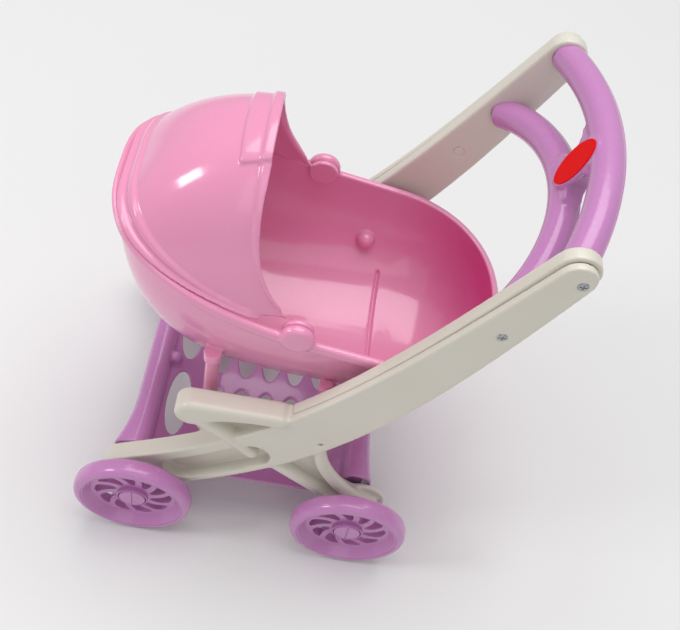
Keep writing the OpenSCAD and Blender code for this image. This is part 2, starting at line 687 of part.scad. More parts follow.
module cot_tub() placed() color(PINK)
    difference() {
        union() {
            tub_shell();
            difference() {
                for (s = [-1, 1]) for (i = [0, 1])
                    translate([s * post_x, post_y[i], post_top_z[i]])
                        cylinder(r = post_boss_r, h = post_boss_h, $fn = 48);
                tub_core();
            }
            both_sides() {
                rounded_disc(boss_r, pivot_boss_in_x, pivot_boss_out_x, pivot_at, 1.5);
                intersection() {
                    translate(stud_at) sphere(stud_r, $fn = 48);
                    tub_core();
                }
            }
        }
        // Slot across the floor
        translate([-slot_half_l, slot_y, floor_z - 5]) cube([2 * slot_half_l, slot_w, 60]);
        for (s = [-1, 1]) for (i = [0, 1])
            translate([s * post_x, post_y[i], post_top_z[i] - 1])
                cylinder(r = post_tip_r + run_gap, h = post_tip_h + 1, $fn = 48);
        both_sides() cross_cylinder(hood_pin_r + run_gap, pivot_boss_in_x - 1, pivot_boss_out_x - 2, pivot_at);
    }

// Post between a socket of a side frame and a boss under the cot
module post(i)
    union() {
        bottom = cup_top_z[i] - cup_h + cup_floor + seat_gap;
        translate([post_x, post_y[i], bottom]) cylinder(r = post_r, h = cup_top_z[i] - bottom, $fn = 48);
        translate([post_x, post_y[i], cup_top_z[i]])
            cylinder(r1 = post_r, r2 = post_r - 1, h = post_top_z[i] - seat_gap - cup_top_z[i], $fn = 48);
        translate([post_x, post_y[i], post_top_z[i] - 1]) cylinder(r = post_tip_r, h = post_tip_h, $fn = 48);
    }

module post_front_left() placed() color(PINK) post(0);
module post_front_right() placed() color(PINK) right_side() post(0);
module post_rear_left() placed() color(PINK) post(1);
module post_rear_right() placed() color(PINK) right_side() post(1);

// ---- hood ----
hood_seat_gap = 1;
pad_from = 68;
pad_v = 0.19;
pad_proud = 2;
pad_edge = 1.5;
arch_power = 2.2;
base_power = 3.5;
hood_base_half_w = 85;
hood_base_l = 144;
ear_in_x = 83.6;
ear_out_x = pivot_boss_in_x - free_gap - 0.4;
ear_r = 12.5;

// Angle of the open edge of the hood above the level, at distance r from the pivot
function arch_angle(r) = 74 - 34 * pow(max(0, 1 - r / hood_rise), 1.2);

// Outward swell of the hood: rolled open edge, bead and flare over the rim
function hood_swell(v, r) =
    let (clear = clamp((r - 20) / 18, 0, 1))
    clear * (v < 0.07 ? 1.6 : v > 0.99 ? 4.6 : v > 0.88 ? 2.2 : 0);

// Height of the raised pad over the middle of the open edge
function hood_pad(a, v) = abs(a - 90) < 90 - pad_from + 0.1 && v < pad_v + 0.001 ? pad_proud : 0;

hood_v = [0, 0.05, 0.08, pad_v, pad_v + 0.012, 0.3, 0.42, 0.54, 0.66, 0.78, 0.875, 0.89, 0.935, 0.95, 0.995, 1];
hood_start = 4;
hood_half_angles = concat([for (t = samples(7)) lerp(hood_start, pad_from - pad_edge, t)],
                          [for (t = samples(2)) lerp(pad_from, 83, t)]);
hood_angles = concat(hood_half_angles, [90],
                     [for (i = [len(hood_half_angles) - 1:-1:0]) 180 - hood_half_angles[i]]);

// Point of the hood at angle a across it and share v from the open edge to the rim, inset by d
function hood_point(a, v, d) =
    let (arch = super_point(a, arch_power), base = super_point(a, base_power),
         arch_r = hood_rise * arch[1], base_y = hood_base_l * base[1],
         base_up = rim_height(pivot_at[0] - base_y) + hood_seat_gap - rim_z,
         base_r = norm([base_y, base_up]), base_angle = atan2(base_up, base_y),
         x = lerp(hood_half_w * arch[0], hood_base_half_w * base[0], v),
         r = lerp(arch_r, base_r, v),
         angle = lerp(arch_angle(arch_r), base_angle, v),
         out = hood_swell(v, r) + (d > 0 ? -d : hood_pad(a, v)),
         x2 = x * (1 + out / hood_half_w), r2 = r * (1 + out / hood_rise))
    [x2, pivot_at[0] - r2 * cos(angle), rim_z + r2 * sin(angle)];

module hood_shell() {
    sheet([for (v = hood_v) [for (a = hood_angles) hood_point(a, v, 0)]],
          [for (v = hood_v) [for (a = hood_angles) hood_point(a, v, cot_wall)]]);
}

module hood() placed() color(PINK)
    union() {
        hood_shell();
        both_sides() {
            cross_cylinder(ear_r, ear_in_x, ear_out_x, pivot_at);
            cross_cylinder(hood_pin_r, ear_out_x - 1, pivot_boss_out_x - 2.4, pivot_at);
        }
    }

frame_left();
frame_right();
arm_cover_left();
arm_cover_right();
handle_upper_shell();
handle_lower_shell();
handle_badge();
handle_screws();
cover_screws();
basket();
front_axle();
rear_axle();
axle_retainers();
wheel_front_left();
wheel_front_right();
wheel_rear_left();
wheel_rear_right();
hub_cap_front_left();
hub_cap_front_right();
hub_cap_rear_left();
hub_cap_rear_right();
cot_tub();
hood();
post_front_left();
post_front_right();
post_rear_left();
post_rear_right();
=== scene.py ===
import json
import logging
import math
from dataclasses import dataclass, field
from enum import Enum
from functools import cache
from typing import Callable, Sequence

import bpy
from mathutils import Matrix, Vector

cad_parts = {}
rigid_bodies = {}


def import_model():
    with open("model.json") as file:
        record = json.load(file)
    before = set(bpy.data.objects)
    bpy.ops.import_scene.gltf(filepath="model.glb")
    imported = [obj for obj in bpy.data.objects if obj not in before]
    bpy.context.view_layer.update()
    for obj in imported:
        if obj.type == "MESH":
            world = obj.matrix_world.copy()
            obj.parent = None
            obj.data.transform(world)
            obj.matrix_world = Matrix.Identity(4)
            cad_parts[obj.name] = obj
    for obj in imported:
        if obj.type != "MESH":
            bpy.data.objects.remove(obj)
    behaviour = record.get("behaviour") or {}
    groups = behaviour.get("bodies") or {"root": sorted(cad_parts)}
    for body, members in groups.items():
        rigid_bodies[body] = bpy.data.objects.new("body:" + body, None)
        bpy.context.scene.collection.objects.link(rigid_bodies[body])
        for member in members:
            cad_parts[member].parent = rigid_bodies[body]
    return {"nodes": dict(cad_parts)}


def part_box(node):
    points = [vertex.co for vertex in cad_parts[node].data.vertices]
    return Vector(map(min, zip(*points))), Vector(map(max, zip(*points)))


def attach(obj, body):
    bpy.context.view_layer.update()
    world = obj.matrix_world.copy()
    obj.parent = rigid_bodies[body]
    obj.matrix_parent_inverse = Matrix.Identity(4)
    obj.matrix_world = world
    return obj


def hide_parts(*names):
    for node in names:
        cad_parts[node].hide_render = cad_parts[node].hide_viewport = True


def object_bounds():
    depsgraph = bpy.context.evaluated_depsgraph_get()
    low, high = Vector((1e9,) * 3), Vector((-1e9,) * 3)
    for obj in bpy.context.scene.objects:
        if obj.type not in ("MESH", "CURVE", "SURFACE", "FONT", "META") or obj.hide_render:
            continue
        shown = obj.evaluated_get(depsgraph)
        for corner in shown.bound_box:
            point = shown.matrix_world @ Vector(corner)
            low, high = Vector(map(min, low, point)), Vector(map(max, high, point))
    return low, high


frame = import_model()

Pair = tuple[float, float]
Triple = tuple[float, float, float]
Piece = bpy.types.Object
Tree = bpy.types.NodeTree
Socket = bpy.types.NodeSocket
Step = Callable[[], object]

MM = 0.001
SHARP_EDGE = math.radians(38)
NODE_MERGE = 0.00002
SHEET_MERGE = 0.00005
COT_MIDDLE = (0.0, 0.02, 0.235)
CAD_BOX = [list(corner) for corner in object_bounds()]
log = logging.getLogger("doll_stroller")


class Side(Enum):
    """The two sides of the stroller, with the sign of X that each lies on."""

    LEFT = 1
    RIGHT = -1

    @property
    def word(self) -> str:
        """The side's name as the node names write it."""
        return self.name.lower()


class Grain(Enum):
    """How coarse a moulded surface is: (noise scale per metre, bump height in metres)."""

    GLOSSY = (90.0, 0.00006)
    SATIN = (420.0, 0.00005)


# ---------------------------------------------------------------- shader groups


def new_group(name: str, inputs: dict[str, float | tuple[float, ...]], result: str, kind: str) -> tuple:
    """Starts a shader node group with one output.

    Args:
        name: The group's name.
        inputs: The default of each input: a number, or a colour as a tuple.
        result: The output's name.
        kind: The output's socket type.

    Returns:
        The node tree, the sockets that give its inputs and the socket that takes its result.
    """
    tree = bpy.data.node_groups.new(name, "ShaderNodeTree")
    for label, default in inputs.items():
        socket_type = "NodeSocketColor" if isinstance(default, tuple) else "NodeSocketFloat"
        tree.interface.new_socket(label, in_out="INPUT", socket_type=socket_type).default_value = default
    tree.interface.new_socket(result, in_out="OUTPUT", socket_type=kind)
    return tree, tree.nodes.new("NodeGroupInput").outputs, tree.nodes.new("NodeGroupOutput").inputs[result]


def noise(tree: Tree, vector: Socket, scale: float, detail: float) -> Socket:
    """Adds a noise texture.

    Args:
        tree: The tree that it joins.
        vector: Where it is sampled.
        scale: Its scale per metre.
        detail: Its number of octaves.

    Returns:
        Its factor socket.
    """
    node = tree.nodes.new("ShaderNodeTexNoise")
    node.inputs["Scale"].default_value = scale
    node.inputs["Detail"].default_value = detail
    tree.links.new(vector, node.inputs["Vector"])
    return node.outputs["Fac"]


def remap(tree: Tree, value: Socket, low: float, high: float, to_low: float = 0.0, to_high: float = 1.0) -> Socket:
    """Adds a clamped Map Range node.

    Args:
        tree: The tree that it joins.
        value: What it maps.
        low: Start of the range that it takes.
        high: End of that range.
        to_low: What the start becomes.
        to_high: What the end becomes.

    Returns:
        Its result socket.
    """
    node = tree.nodes.new("ShaderNodeMapRange")
    for label, number in (("From Min", low), ("From Max", high), ("To Min", to_low), ("To Max", to_high)):
        node.inputs[label].default_value = number
    tree.links.new(value, node.inputs["Value"])
    return node.outputs["Result"]


def worked_out(tree: Tree, kind: str, operation: str, *values: Socket, result: int = 0) -> Socket:
    """Adds a node that works something out from its inputs.

    Args:
        tree: The tree that it joins.
        kind: "Math" or "VectorMath".
        operation: What it does.
        values: The sockets that its inputs take, in order.
        result: The number of the output that holds the answer.

    Returns:
        Its result socket.
    """
    node = tree.nodes.new(f"ShaderNode{kind}")
    node.operation = operation
    for socket, value in zip(node.inputs, values):
        tree.links.new(value, socket)
    return node.outputs[result]


def axis_of(tree: Tree, vector: Socket, axis: str) -> Socket:
    """Splits a vector.

    Args:
        tree: The tree that the node joins.
        vector: The vector.
        axis: "X", "Y" or "Z".

    Returns:
        The socket of that axis.
    """
    node = tree.nodes.new("ShaderNodeSeparateXYZ")
    tree.links.new(vector, node.inputs[0])
    return node.outputs[axis]


def mixed(tree: Tree, factor: Socket, first: Socket, second: Socket) -> Socket:
    """Mixes two colours.

    Args:
        tree: The tree that the node joins.
        factor: Share of the second colour.
        first: The first colour.
        second: The second colour.

    Returns:
        The socket of the mixed colour.
    """
    node = tree.nodes.new("ShaderNodeMix")
    node.data_type = "RGBA"
    for socket, value in ((node.inputs["Factor"], factor), (node.inputs[6], first), (node.inputs[7], second)):
        tree.links.new(value, socket)
    return node.outputs[2]


@cache
def moulded_colour_group() -> Tree:
    """Builds, once, the group that clouds a moulded plastic's colour and lays a little dust on what faces up.

    Returns:
        The node group, with output Color.
    """
    tree, given, result = new_group(
        "Moulded colour", {"Base": (0.8, 0.8, 0.8, 1.0), "Deep": (0.7, 0.7, 0.7, 1.0),
                           "Dust Color": (0.8, 0.78, 0.75, 1.0), "Cloud": 0.06, "Dust": 0.05},
        "Color", "NodeSocketColor")
    coords = tree.nodes.new("ShaderNodeTexCoord").outputs
    clouds = remap(tree, noise(tree, coords["Object"], 14.0, 3.0), 0.3, 0.75)
    shade = mixed(tree, worked_out(tree, "Math", "MULTIPLY", clouds, given["Cloud"]), given["Base"], given["Deep"])
    upward = remap(tree, axis_of(tree, coords["Normal"], "Z"), 0.35, 1.0)
    specks = remap(tree, noise(tree, coords["Object"], 230.0, 6.0), 0.58, 0.72)
    settled = worked_out(tree, "Math", "MULTIPLY", upward, specks)
    dust = worked_out(tree, "Math", "MULTIPLY", settled, given["Dust"])
    tree.links.new(mixed(tree, dust, shade, given["Dust Color"]), result)
    return tree


@cache
def handling_wear_group() -> Tree:
    """Builds, once, the group that turns a plain roughness into one with smears and fine hairline scuffs.

    Returns:
        The node group, with output Roughness.
    """
    tree, given, result = new_group("Handling wear", {"Roughness": 0.2, "Smears": 0.08, "Scuffs": 0.12},
                                    "Roughness", "NodeSocketFloat")
    coords = tree.nodes.new("ShaderNodeTexCoord").outputs["Object"]
    smears = remap(tree, noise(tree, coords, 22.0, 5.0), 0.42, 0.7)
    smeared = worked_out(tree, "Math", "MULTIPLY_ADD", smears, given["Smears"], given["Roughness"])
    stretch = tree.nodes.new("ShaderNodeMapping")
    stretch.inputs["Rotation"].default_value = (0.3, 0.5, 0.8)
    stretch.inputs["Scale"].default_value = (1.0, 14.0, 14.0)
    tree.links.new(coords, stretch.inputs["Vector"])
    scuffs = remap(tree, noise(tree, stretch.outputs[0], 60.0, 2.0), 0.66, 0.72)
    tree.links.new(worked_out(tree, "Math", "MULTIPLY_ADD", scuffs, given["Scuffs"], smeared), result)
    return tree


@cache
def hollow_tint_group() -> Tree:
    """Builds, once, the group that paints shade on the steep walls that face into the cot, most towards the foot end,
    in a deeper magenta.

    Returns:
        The node group, with output Color.
    """
    tree, given, result = new_group("Hollow tint", {"Outer": (0.8, 0.3, 0.5, 1.0), "Inner": (0.8, 0.1, 0.3, 1.0)},
                                    "Color", "NodeSocketColor")
    coords = tree.nodes.new("ShaderNodeTexCoord").outputs
    middle = tree.nodes.new("ShaderNodeCombineXYZ")
    for socket, number in zip(middle.inputs, COT_MIDDLE):
        socket.default_value = number
    inward = worked_out(tree, "VectorMath", "SUBTRACT", middle.outputs[0], coords["Object"])
    unit = worked_out(tree, "VectorMath", "NORMALIZE", inward)
    facing = worked_out(tree, "VectorMath", "DOT_PRODUCT", unit, coords["Normal"], result=1)
    upright = remap(tree, axis_of(tree, coords["Normal"], "Z"), 0.15, 0.95, 1.0, 0.22)
    steep = worked_out(tree, "Math", "MULTIPLY", remap(tree, facing, 0.1, 0.75), upright)
    back = remap(tree, axis_of(tree, coords["Object"], "Y"), 0.05, 0.15, 0.12, 1.0)
    # Painted shade: steep walls that face the cot's middle, more so towards the foot end, mix towards the shade colour.
    shade_share = worked_out(tree, "Math", "MULTIPLY", steep, back)
    tree.links.new(mixed(tree, shade_share, given["Outer"], given["Inner"]), result)
    return tree


# ---------------------------------------------------------------- finishes


def new_material(name: str) -> tuple[bpy.types.Material, Tree, bpy.types.Node]:
    """Starts a material.

    Args:
        name: The material's name.

    Returns:
        The material, its node tree and its main shader.
    """
    material = bpy.data.materials.new(name)
    material.use_nodes = True
    return material, material.node_tree, material.node_tree.nodes["Principled BSDF"]


def grouped(tree: Tree, group: Tree, values: dict[str, float | Sequence[float]]) -> bpy.types.Node:
    """Adds a group to a material.

    Args:
        tree: The material's node tree.
        group: The group.
        values: The fixed inputs; a colour has three numbers.

    Returns:
        The group's node.
    """
    node = tree.nodes.new("ShaderNodeGroup")
    node.node_tree = group
    for label, value in values.items():
        node.inputs[label].default_value = (*value, 1.0) if isinstance(value, tuple) else value
    return node


@dataclass(frozen=True)
class Finish:
    """A moulded plastic or a plated steel: its colour, the darker tone that clouds it, its gloss, its marks of use and
    any painted shade inside the cot.
    """

    name: str
    base: Triple
    deep: Triple
    roughness: float
    coat: float = 0.0
    grain: Grain | None = None
    metallic: float = 0.0
    specular: float = 0.5
    # Colour of the painted shade on the steep walls inside the cot, or None for none.
    hollow: Triple | None = None
    cloud: float = 0.5
    dust: float = 0.05
    smears: float = 0.06
    scuffs: float = 0.1
    coat_roughness: float = 0.06
    ior: float = 1.5
    bump: float = 0.6

    @cache
    def material(self) -> bpy.types.Material:
        """Builds the material the first time it is asked for.

        Returns:
            The material.
        """
        material, tree, shader = new_material(self.name)
        for label, value in (("Metallic", self.metallic), ("Coat Weight", self.coat), ("IOR", self.ior),
                             ("Coat Roughness", self.coat_roughness), ("Specular IOR Level", self.specular)):
            shader.inputs[label].default_value = value
        shown = grouped(tree, moulded_colour_group(), {
            "Base": self.base, "Deep": self.deep, "Cloud": self.cloud, "Dust": self.dust}).outputs["Color"]
        # Painted shade on the walls inside the cot.
        if self.hollow:
            painted_shade_node = grouped(tree, hollow_tint_group(), {"Inner": self.hollow})
            tree.links.new(shown, painted_shade_node.inputs["Outer"])
            shown = painted_shade_node.outputs["Color"]
        tree.links.new(shown, shader.inputs["Base Color"])
        wear = grouped(tree, handling_wear_group(), {
            "Roughness": self.roughness, "Smears": self.smears, "Scuffs": self.scuffs})
        tree.links.new(wear.outputs["Roughness"], shader.inputs["Roughness"])
        if self.grain:
            self._roughen(tree, shader)
        return material

    def _roughen(self, tree: Tree, shader: bpy.types.Node) -> None:
        """Gives the surface the grain of its mould.

        Args:
            tree: The material's node tree.
            shader: Its main shader.
        """
        scale, height = self.grain.value
        bump = tree.nodes.new("ShaderNodeBump")
        bump.inputs["Distance"].default_value = height
        bump.inputs["Strength"].default_value = self.bump
        coords = tree.nodes.new("ShaderNodeTexCoord").outputs["Object"]
        tree.links.new(noise(tree, coords, scale, 4.0), bump.inputs["Height"])
        tree.links.new(bump.outputs["Normal"], shader.inputs["Normal"])


# The pink's last colour is painted shade for the steep walls inside the cot, a deep magenta as of light bounced inside
# the pink.
PINK = Finish("pink_gloss_plastic", (0.81, 0.305, 0.495), (0.78, 0.27, 0.46), 0.16, 0.6, Grain.GLOSSY,
              hollow=(0.75, 0.035, 0.28))
LILAC = Finish("lilac_gloss_plastic", (0.545, 0.222, 0.495), (0.505, 0.197, 0.46), 0.22, 0.4, Grain.GLOSSY)
CREAM = Finish("cream_satin_plastic", (0.69, 0.66, 0.575), (0.65, 0.615, 0.53), 0.34, 0.2, Grain.SATIN)
RED = Finish("red_sticker_film", (0.84, 0.0, 0.001), (0.78, 0.0, 0.001), 0.5, 0.0, Grain.SATIN,
             specular=0.08, dust=0.0)
STEEL = Finish("plated_steel", (0.42, 0.43, 0.45), (0.315, 0.3225, 0.3375), 0.3, metallic=1.0,
               cloud=0.6, dust=0.0, smears=0.15, scuffs=0.2)


# ---------------------------------------------------------------- modelling helpers


def deselect() -> None:
    """Leaves nothing selected."""
    for thing in bpy.context.view_layer.objects:
        thing.select_set(False)


def make_active(piece: Piece) -> None:
    """Selects one object alone and makes it active.

    Args:
        piece: The object.
    """
    deselect()
    piece.hide_viewport = False
    piece.select_set(True)
    bpy.context.view_layer.objects.active = piece


def apply_modifiers(piece: Piece) -> Piece:
    """Applies every modifier of a piece in order.

    Args:
        piece: The piece.

    Returns:
        The piece.
    """
    make_active(piece)
    for modifier in list(piece.modifiers):
        bpy.ops.object.modifier_apply(modifier=modifier.name)
    return piece


def settled(piece: Piece) -> Piece:
    """Moves the active piece's place, turn and scale into its mesh, and returns the piece."""
    bpy.ops.object.transform_apply(location=True, rotation=True, scale=True)
    return piece


def edited(piece: Piece, *steps: Step) -> Piece:
    """Runs steps on the whole of a piece's mesh in edit mode.

    Args:
        piece: The piece.
        steps: The steps, in order.

    Returns:
        The piece.
    """
    make_active(piece)
    bpy.ops.object.mode_set(mode="EDIT")
    bpy.ops.mesh.select_all(action="SELECT")
    for step in steps:
        step()
    bpy.ops.object.mode_set(mode="OBJECT")
    return piece


def merge(distance: float) -> Step:
    """Step that merges doubled points within a distance in metres."""
    return lambda: bpy.ops.mesh.remove_doubles(threshold=distance)


def close_rims() -> None:
    """Step that fills every open rim."""
    bpy.ops.mesh.fill_holes(sides=0)


def face_outwards() -> None:
    """Step that turns every face outwards."""
    bpy.ops.mesh.normals_make_consistent(inside=False)


def smooth(piece: Piece) -> Piece:
    """Shades a piece smooth all over.

    Args:
        piece: The piece.

    Returns:
        The piece.
    """
    make_active(piece)
    bpy.ops.object.shade_smooth()
    return piece


def smooth_but_edges(piece: Piece) -> Piece:
    """Shades a piece smooth, with its sharp edges kept.

    Args:
        piece: The piece.

    Returns:
        The piece.
    """
    make_active(piece)
    bpy.ops.object.shade_smooth_by_angle(angle=SHARP_EDGE)
    return piece


def merged_copy(node: str, name: str) -> Piece:
    """Copies a node's mesh into a new piece and merges its loose triangles.

    Args:
        node: The node's name.
        name: The new piece's name.

    Returns:
        The new piece, at the origin.
    """
    piece = bpy.data.objects.new(name, frame["nodes"][node].data.copy())
    bpy.context.scene.collection.objects.link(piece)
    piece.data.materials.clear()
    return edited(piece, merge(NODE_MERGE))


def super_point(angle: float, power: float) -> Pair:
    """Point of a unit superellipse at an angle in degrees."""
    across, along = math.cos(math.radians(angle)), math.sin(math.radians(angle))
    return (math.copysign(abs(across) ** (2 / power), across), math.copysign(abs(along) ** (2 / power), along))


def ease(value: float, low: float, high: float) -> float:
    """Smooth step from 0 at low to 1 at high."""
    share = min(max((value - low) / (high - low), 0.0), 1.0)
    return share * share * (3 - 2 * share)


def lofted(name: str, columns: int, rows: int, point: Callable[[float, float], Vector]) -> Piece:
    """Shapes a grid into a lofted sheet.

    Args:
        name: The piece's name.
        columns: Steps across the sheet.
        rows: Steps along it.
        point: Gives the point, in metres, at shares (u, v) of the way across and along.

    Returns:
        The sheet, with doubled points merged.
    """
    sheet = added(bpy.ops.mesh.primitive_grid_add, x_subdivisions=columns, y_subdivisions=rows, size=1.0)
    sheet.name = name
    for vertex in sheet.data.vertices:
        vertex.co = point(vertex.co.x + 0.5, vertex.co.y + 0.5)
    return edited(sheet, merge(SHEET_MERGE), face_outwards)


def thickened(sheet: Piece, thickness: float, offset: float = 0.0) -> Piece:
    """Gives a sheet its wall.

    Args:
        sheet: The sheet.
        thickness: The wall in millimetres.
        offset: 0 for a wall about the sheet, or -1 for a wall behind it.

    Returns:
        The sheet.
    """
    wall = sheet.modifiers.new("wall", "SOLIDIFY")
    wall.thickness = thickness * MM
    wall.offset = offset
    return apply_modifiers(sheet)


def added(primitive: Callable[..., object], **options: object) -> Piece:
    """Adds a primitive by itself.

    Args:
        primitive: The operator that adds it.
        options: The operator's own options, in metres.

    Returns:
        The new piece.
    """
    deselect()
    primitive(**options)
    return bpy.context.active_object


def block(centre: Vector, size: Sequence[float]) -> Piece:
    """Adds a box, in metres.

    Args:
        centre: Its centre.
        size: Its size along X, Y and Z.

    Returns:
        The box.
    """
    box = added(bpy.ops.mesh.primitive_cube_add, size=1.0, location=centre)
    box.scale = size
    return settled(box)


def ball(centre: Vector, radius: float, segments: int) -> Piece:
    """Adds a ball, in metres, with a number of segments round it."""
    return added(bpy.ops.mesh.primitive_uv_sphere_add, segments=segments, ring_count=24, radius=radius, location=centre)


def rod(name: str, start: Vector, end: Vector, radius: float) -> Piece:
    """Adds a round rod with round ends, in metres.

    Args:
        name: The piece's name.
        start: Centre of one end.
        end: Centre of the other end.
        radius: Its radius.

    Returns:
        The rod.
    """
    along = end - start
    shaft = added(bpy.ops.mesh.primitive_cylinder_add, vertices=48, radius=radius, depth=along.length,
                  location=(start + end) / 2, rotation=along.to_track_quat("Z", "Y").to_euler())
    piece = joined([shaft, ball(start, radius, 48), ball(end, radius, 48)])
    piece.name = name
    return settled(piece)


def cut_away(piece: Piece, cutter: Piece) -> Piece:
    """Cuts one piece out of another and removes the cutter.

    Args:
        piece: The piece that is cut.
        cutter: The piece that is taken away.

    Returns:
        The cut piece.
    """
    cut = piece.modifiers.new("cut", "BOOLEAN")
    cut.operation = "DIFFERENCE"
    cut.solver = "EXACT"
    cut.object = cutter
    apply_modifiers(piece)
    bpy.data.objects.remove(cutter)
    return piece


@cache
def front_axle_y() -> float:
    """Y of the front axle in millimetres."""
    low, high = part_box("front_axle")
    return (low.y + high.y) / 2 / MM


def place(x: float, y: float, z: float) -> Vector:
    """Turns millimetres, with y from the front axle, into a point in metres."""
    return Vector((x, y + front_axle_y(), z)) * MM


def cross_disc(name: str, radius: float, side: Side, x_span: Pair, centre: Pair, rounding: float) -> Piece:
    """Adds a rounded disc whose axis lies across the stroller, in millimetres.

    Args:
        name: The piece's name.
        radius: Its radius.
        side: The side that it lies on.
        x_span: How far its two faces stand from the middle.
        centre: Its centre as (y, z), in metres.
        rounding: Radius of its edges.

    Returns:
        The disc.
    """
    x_in, x_out = (side.value * reach * MM for reach in x_span)
    disc = settled(added(bpy.ops.mesh.primitive_cylinder_add, vertices=72, radius=radius * MM, depth=abs(x_out - x_in),
                         location=((x_in + x_out) / 2, *centre), rotation=(0, math.pi / 2, 0)))
    disc.name = name
    edge = disc.modifiers.new("rounding", "BEVEL")
    edge.width = rounding * MM
    edge.segments = 5
    edge.limit_method = "ANGLE"
    return apply_modifiers(disc)


def joined(parts: Sequence[Piece]) -> Piece:
    """Joins pieces into the first one.

    Args:
        parts: The pieces.

    Returns:
        The joined piece.
    """
    make_active(parts[0])
    for part in parts[1:]:
        part.select_set(True)
    bpy.ops.object.join()
    return parts[0]


@dataclass(frozen=True)
class Skin:
    """How a skin is made: size of the remesh in millimetres, smoothing passes and most triangles kept."""

    voxel: float
    passes: int
    limit: int = 190000


def fused(piece: Piece, skin: Skin) -> Piece:
    """Fuses a piece's overlapping shells into one skin with soft edges.

    Args:
        piece: The piece.
        skin: How the skin is made.

    Returns:
        The piece.
    """
    remesh = piece.modifiers.new("even skin", "REMESH")
    remesh.mode = "VOXEL"
    remesh.voxel_size = skin.voxel * MM
    remesh.use_smooth_shade = True
    relax = piece.modifiers.new("rounded edges", "SMOOTH")
    relax.factor = 0.5
    relax.iterations = skin.passes
    apply_modifiers(piece)
    triangles = 2 * len(piece.data.polygons)
    if triangles > skin.limit:
        piece.modifiers.new("thin", "DECIMATE").ratio = skin.limit / triangles
        apply_modifiers(piece)
    return smooth(piece)


def dress(piece: Piece, finish: Finish, body: str, replaced: Sequence[str]) -> None:
    """Gives a new piece its finish and its body, and hides the nodes that it stands for.

    Args:
        piece: The piece.
        finish: Its finish.
        body: The body that it rides on.
        replaced: The nodes that it stands for.
    """
    piece.data.materials.clear()
    piece.data.materials.append(finish.material())
    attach(piece, body)
    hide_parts(*replaced)
    log.info("%s: %d faces on %s", piece.name, len(piece.data.polygons), body)


def paint(node: str, finish: Finish) -> None:
    """Gives a node its finish.

    Args:
        node: The node's name.
        finish: Its finish.
    """
    thing = frame["nodes"][node]
    if not thing.material_slots:
        thing.data.materials.append(finish.material())
    for entry in thing.material_slots:
        entry.material = finish.material()
    log.info("%s: painted %s", node, finish.name)


# ---------------------------------------------------------------- sub-assemblies


@dataclass
class SideFrame:
    """One cream side frame with its arm cover, in millimetres."""

    side: Side
    finish: Finish = CREAM
    half_skin: Skin = Skin(1.15, 11, 170000)
    cover_skin: Skin = Skin(1.15, 6, 60000)
    out_x: float = 118.6
    seam_x: float = 112.0
    proud: float = 2.2
    platform_z: float = 192.0
    platform_t: float = 14.0
    corner_r: float = 15.0
    corner_y: float = 46.0
    end_y: float = 123.0
    long_share: float = 0.35
    edge_r: float = 4.0
    edge_steps: int = 6
    face_inset: float = 6.9
    least_reach: float = 0.05
    seam_inset: float = 6.5
    fingers: tuple[tuple[Pair, Pair, float], ...] = (
        ((47.0, 170.5), (76.0, 147.5), 7.6), ((76.0, 147.5), (97.0, 126.5), 5.8))

    @property
    def face_x(self) -> float:
        """How far the platform's outer face stands from the middle."""
        return self.out_x + self.proud

    def build(self) -> None:
        """Makes the frame half and its cover."""
        node = f"frame_{self.side.word}"
        half = joined([merged_copy(node, f"{node}_moulding"), self._platform(), *self._fingers()])
        dress(fused(half, self.half_skin), self.finish, "chassis", [node])
        node = f"arm_cover_{self.side.word}"
        cover = fused(merged_copy(node, f"{node}_moulding"), self.cover_skin)
        dress(cover, self.finish, "chassis", [node])

    def _edge_point(self, step: float, angle: float, inset: float) -> Pair:
        """Point of the circle that rolls along the platform and shrinks towards its end.

        Args:
            step: Share of the way along the platform.
            angle: Angle round the circle in degrees.
            inset: How far inside the outline the point lies.

        Returns:
            The point as (y, z).
        """
        tail = self.platform_t / 2
        radius = tail + (self.corner_r - tail) * (1 - step) ** 3
        centre = self.corner_y + (self.end_y - tail - self.corner_y) * step
        reach, turned = max(radius - inset, self.least_reach), math.radians(angle)
        return centre + reach * math.cos(turned), self.platform_z - radius + reach * math.sin(turned)

    def _outline(self, turn: float, inset: float) -> Pair:
        """Point of the platform's outline.

        Args:
            turn: Share of the way round, from its front top.
            inset: How far inside the outline the point lies.

        Returns:
            The point as (y, z).
        """
        top, back = self.long_share, 0.5 - self.long_share
        if turn < top:
            return self._edge_point(turn / top, 90, inset)
        if turn < 0.5:
            return self._edge_point(1, 90 - 180 * (turn - top) / back, inset)
        if turn < 0.5 + top:
            return self._edge_point(1 - (turn - 0.5) / top, -90, inset)
        return self._edge_point(0, 270 - 180 * (turn - 0.5 - top) / back, inset)

    def _platform(self) -> Piece:
        """Makes the platform bar, which stands out from the arm and has a rounded outer edge.

        Returns:
            The bar.
        """
        rows = [(self.seam_x, self.seam_inset), (self.seam_x, 0.0), (self.face_x - self.edge_r, 0.0)]
        for step in range(1, self.edge_steps + 1):
            angle = math.pi / 2 * step / self.edge_steps
            rows.append((self.face_x - self.edge_r * (1 - math.sin(angle)), self.edge_r * (1 - math.cos(angle))))
        rows.append((self.face_x, self.face_inset))
        last = len(rows) - 1

        def at(u: float, v: float) -> Vector:
            """Point of the bar's skin."""
            x, inset = rows[round(v * last)]
            return place(self.side.value * x, *self._outline(u % 1.0, inset))

        return edited(lofted("platform", 120, last, at), close_rims, face_outwards)

    def _fingers(self) -> list[Piece]:
        """Makes the two round fingers of the brace.

        Returns:
            The fingers.
        """
        made = []
        for start, end, radius in self.fingers:
            x = self.side.value * (self.face_x - radius)
            made.append(rod("finger", place(x, *start), place(x, *end), radius * MM))
        return made


@dataclass(frozen=True)
class Tube:
    """Middle line of a bowed tube: where its ends lie, how far it bulges and its tilt in degrees."""

    y: float
    z: float
    bulge: float
    tilt: float


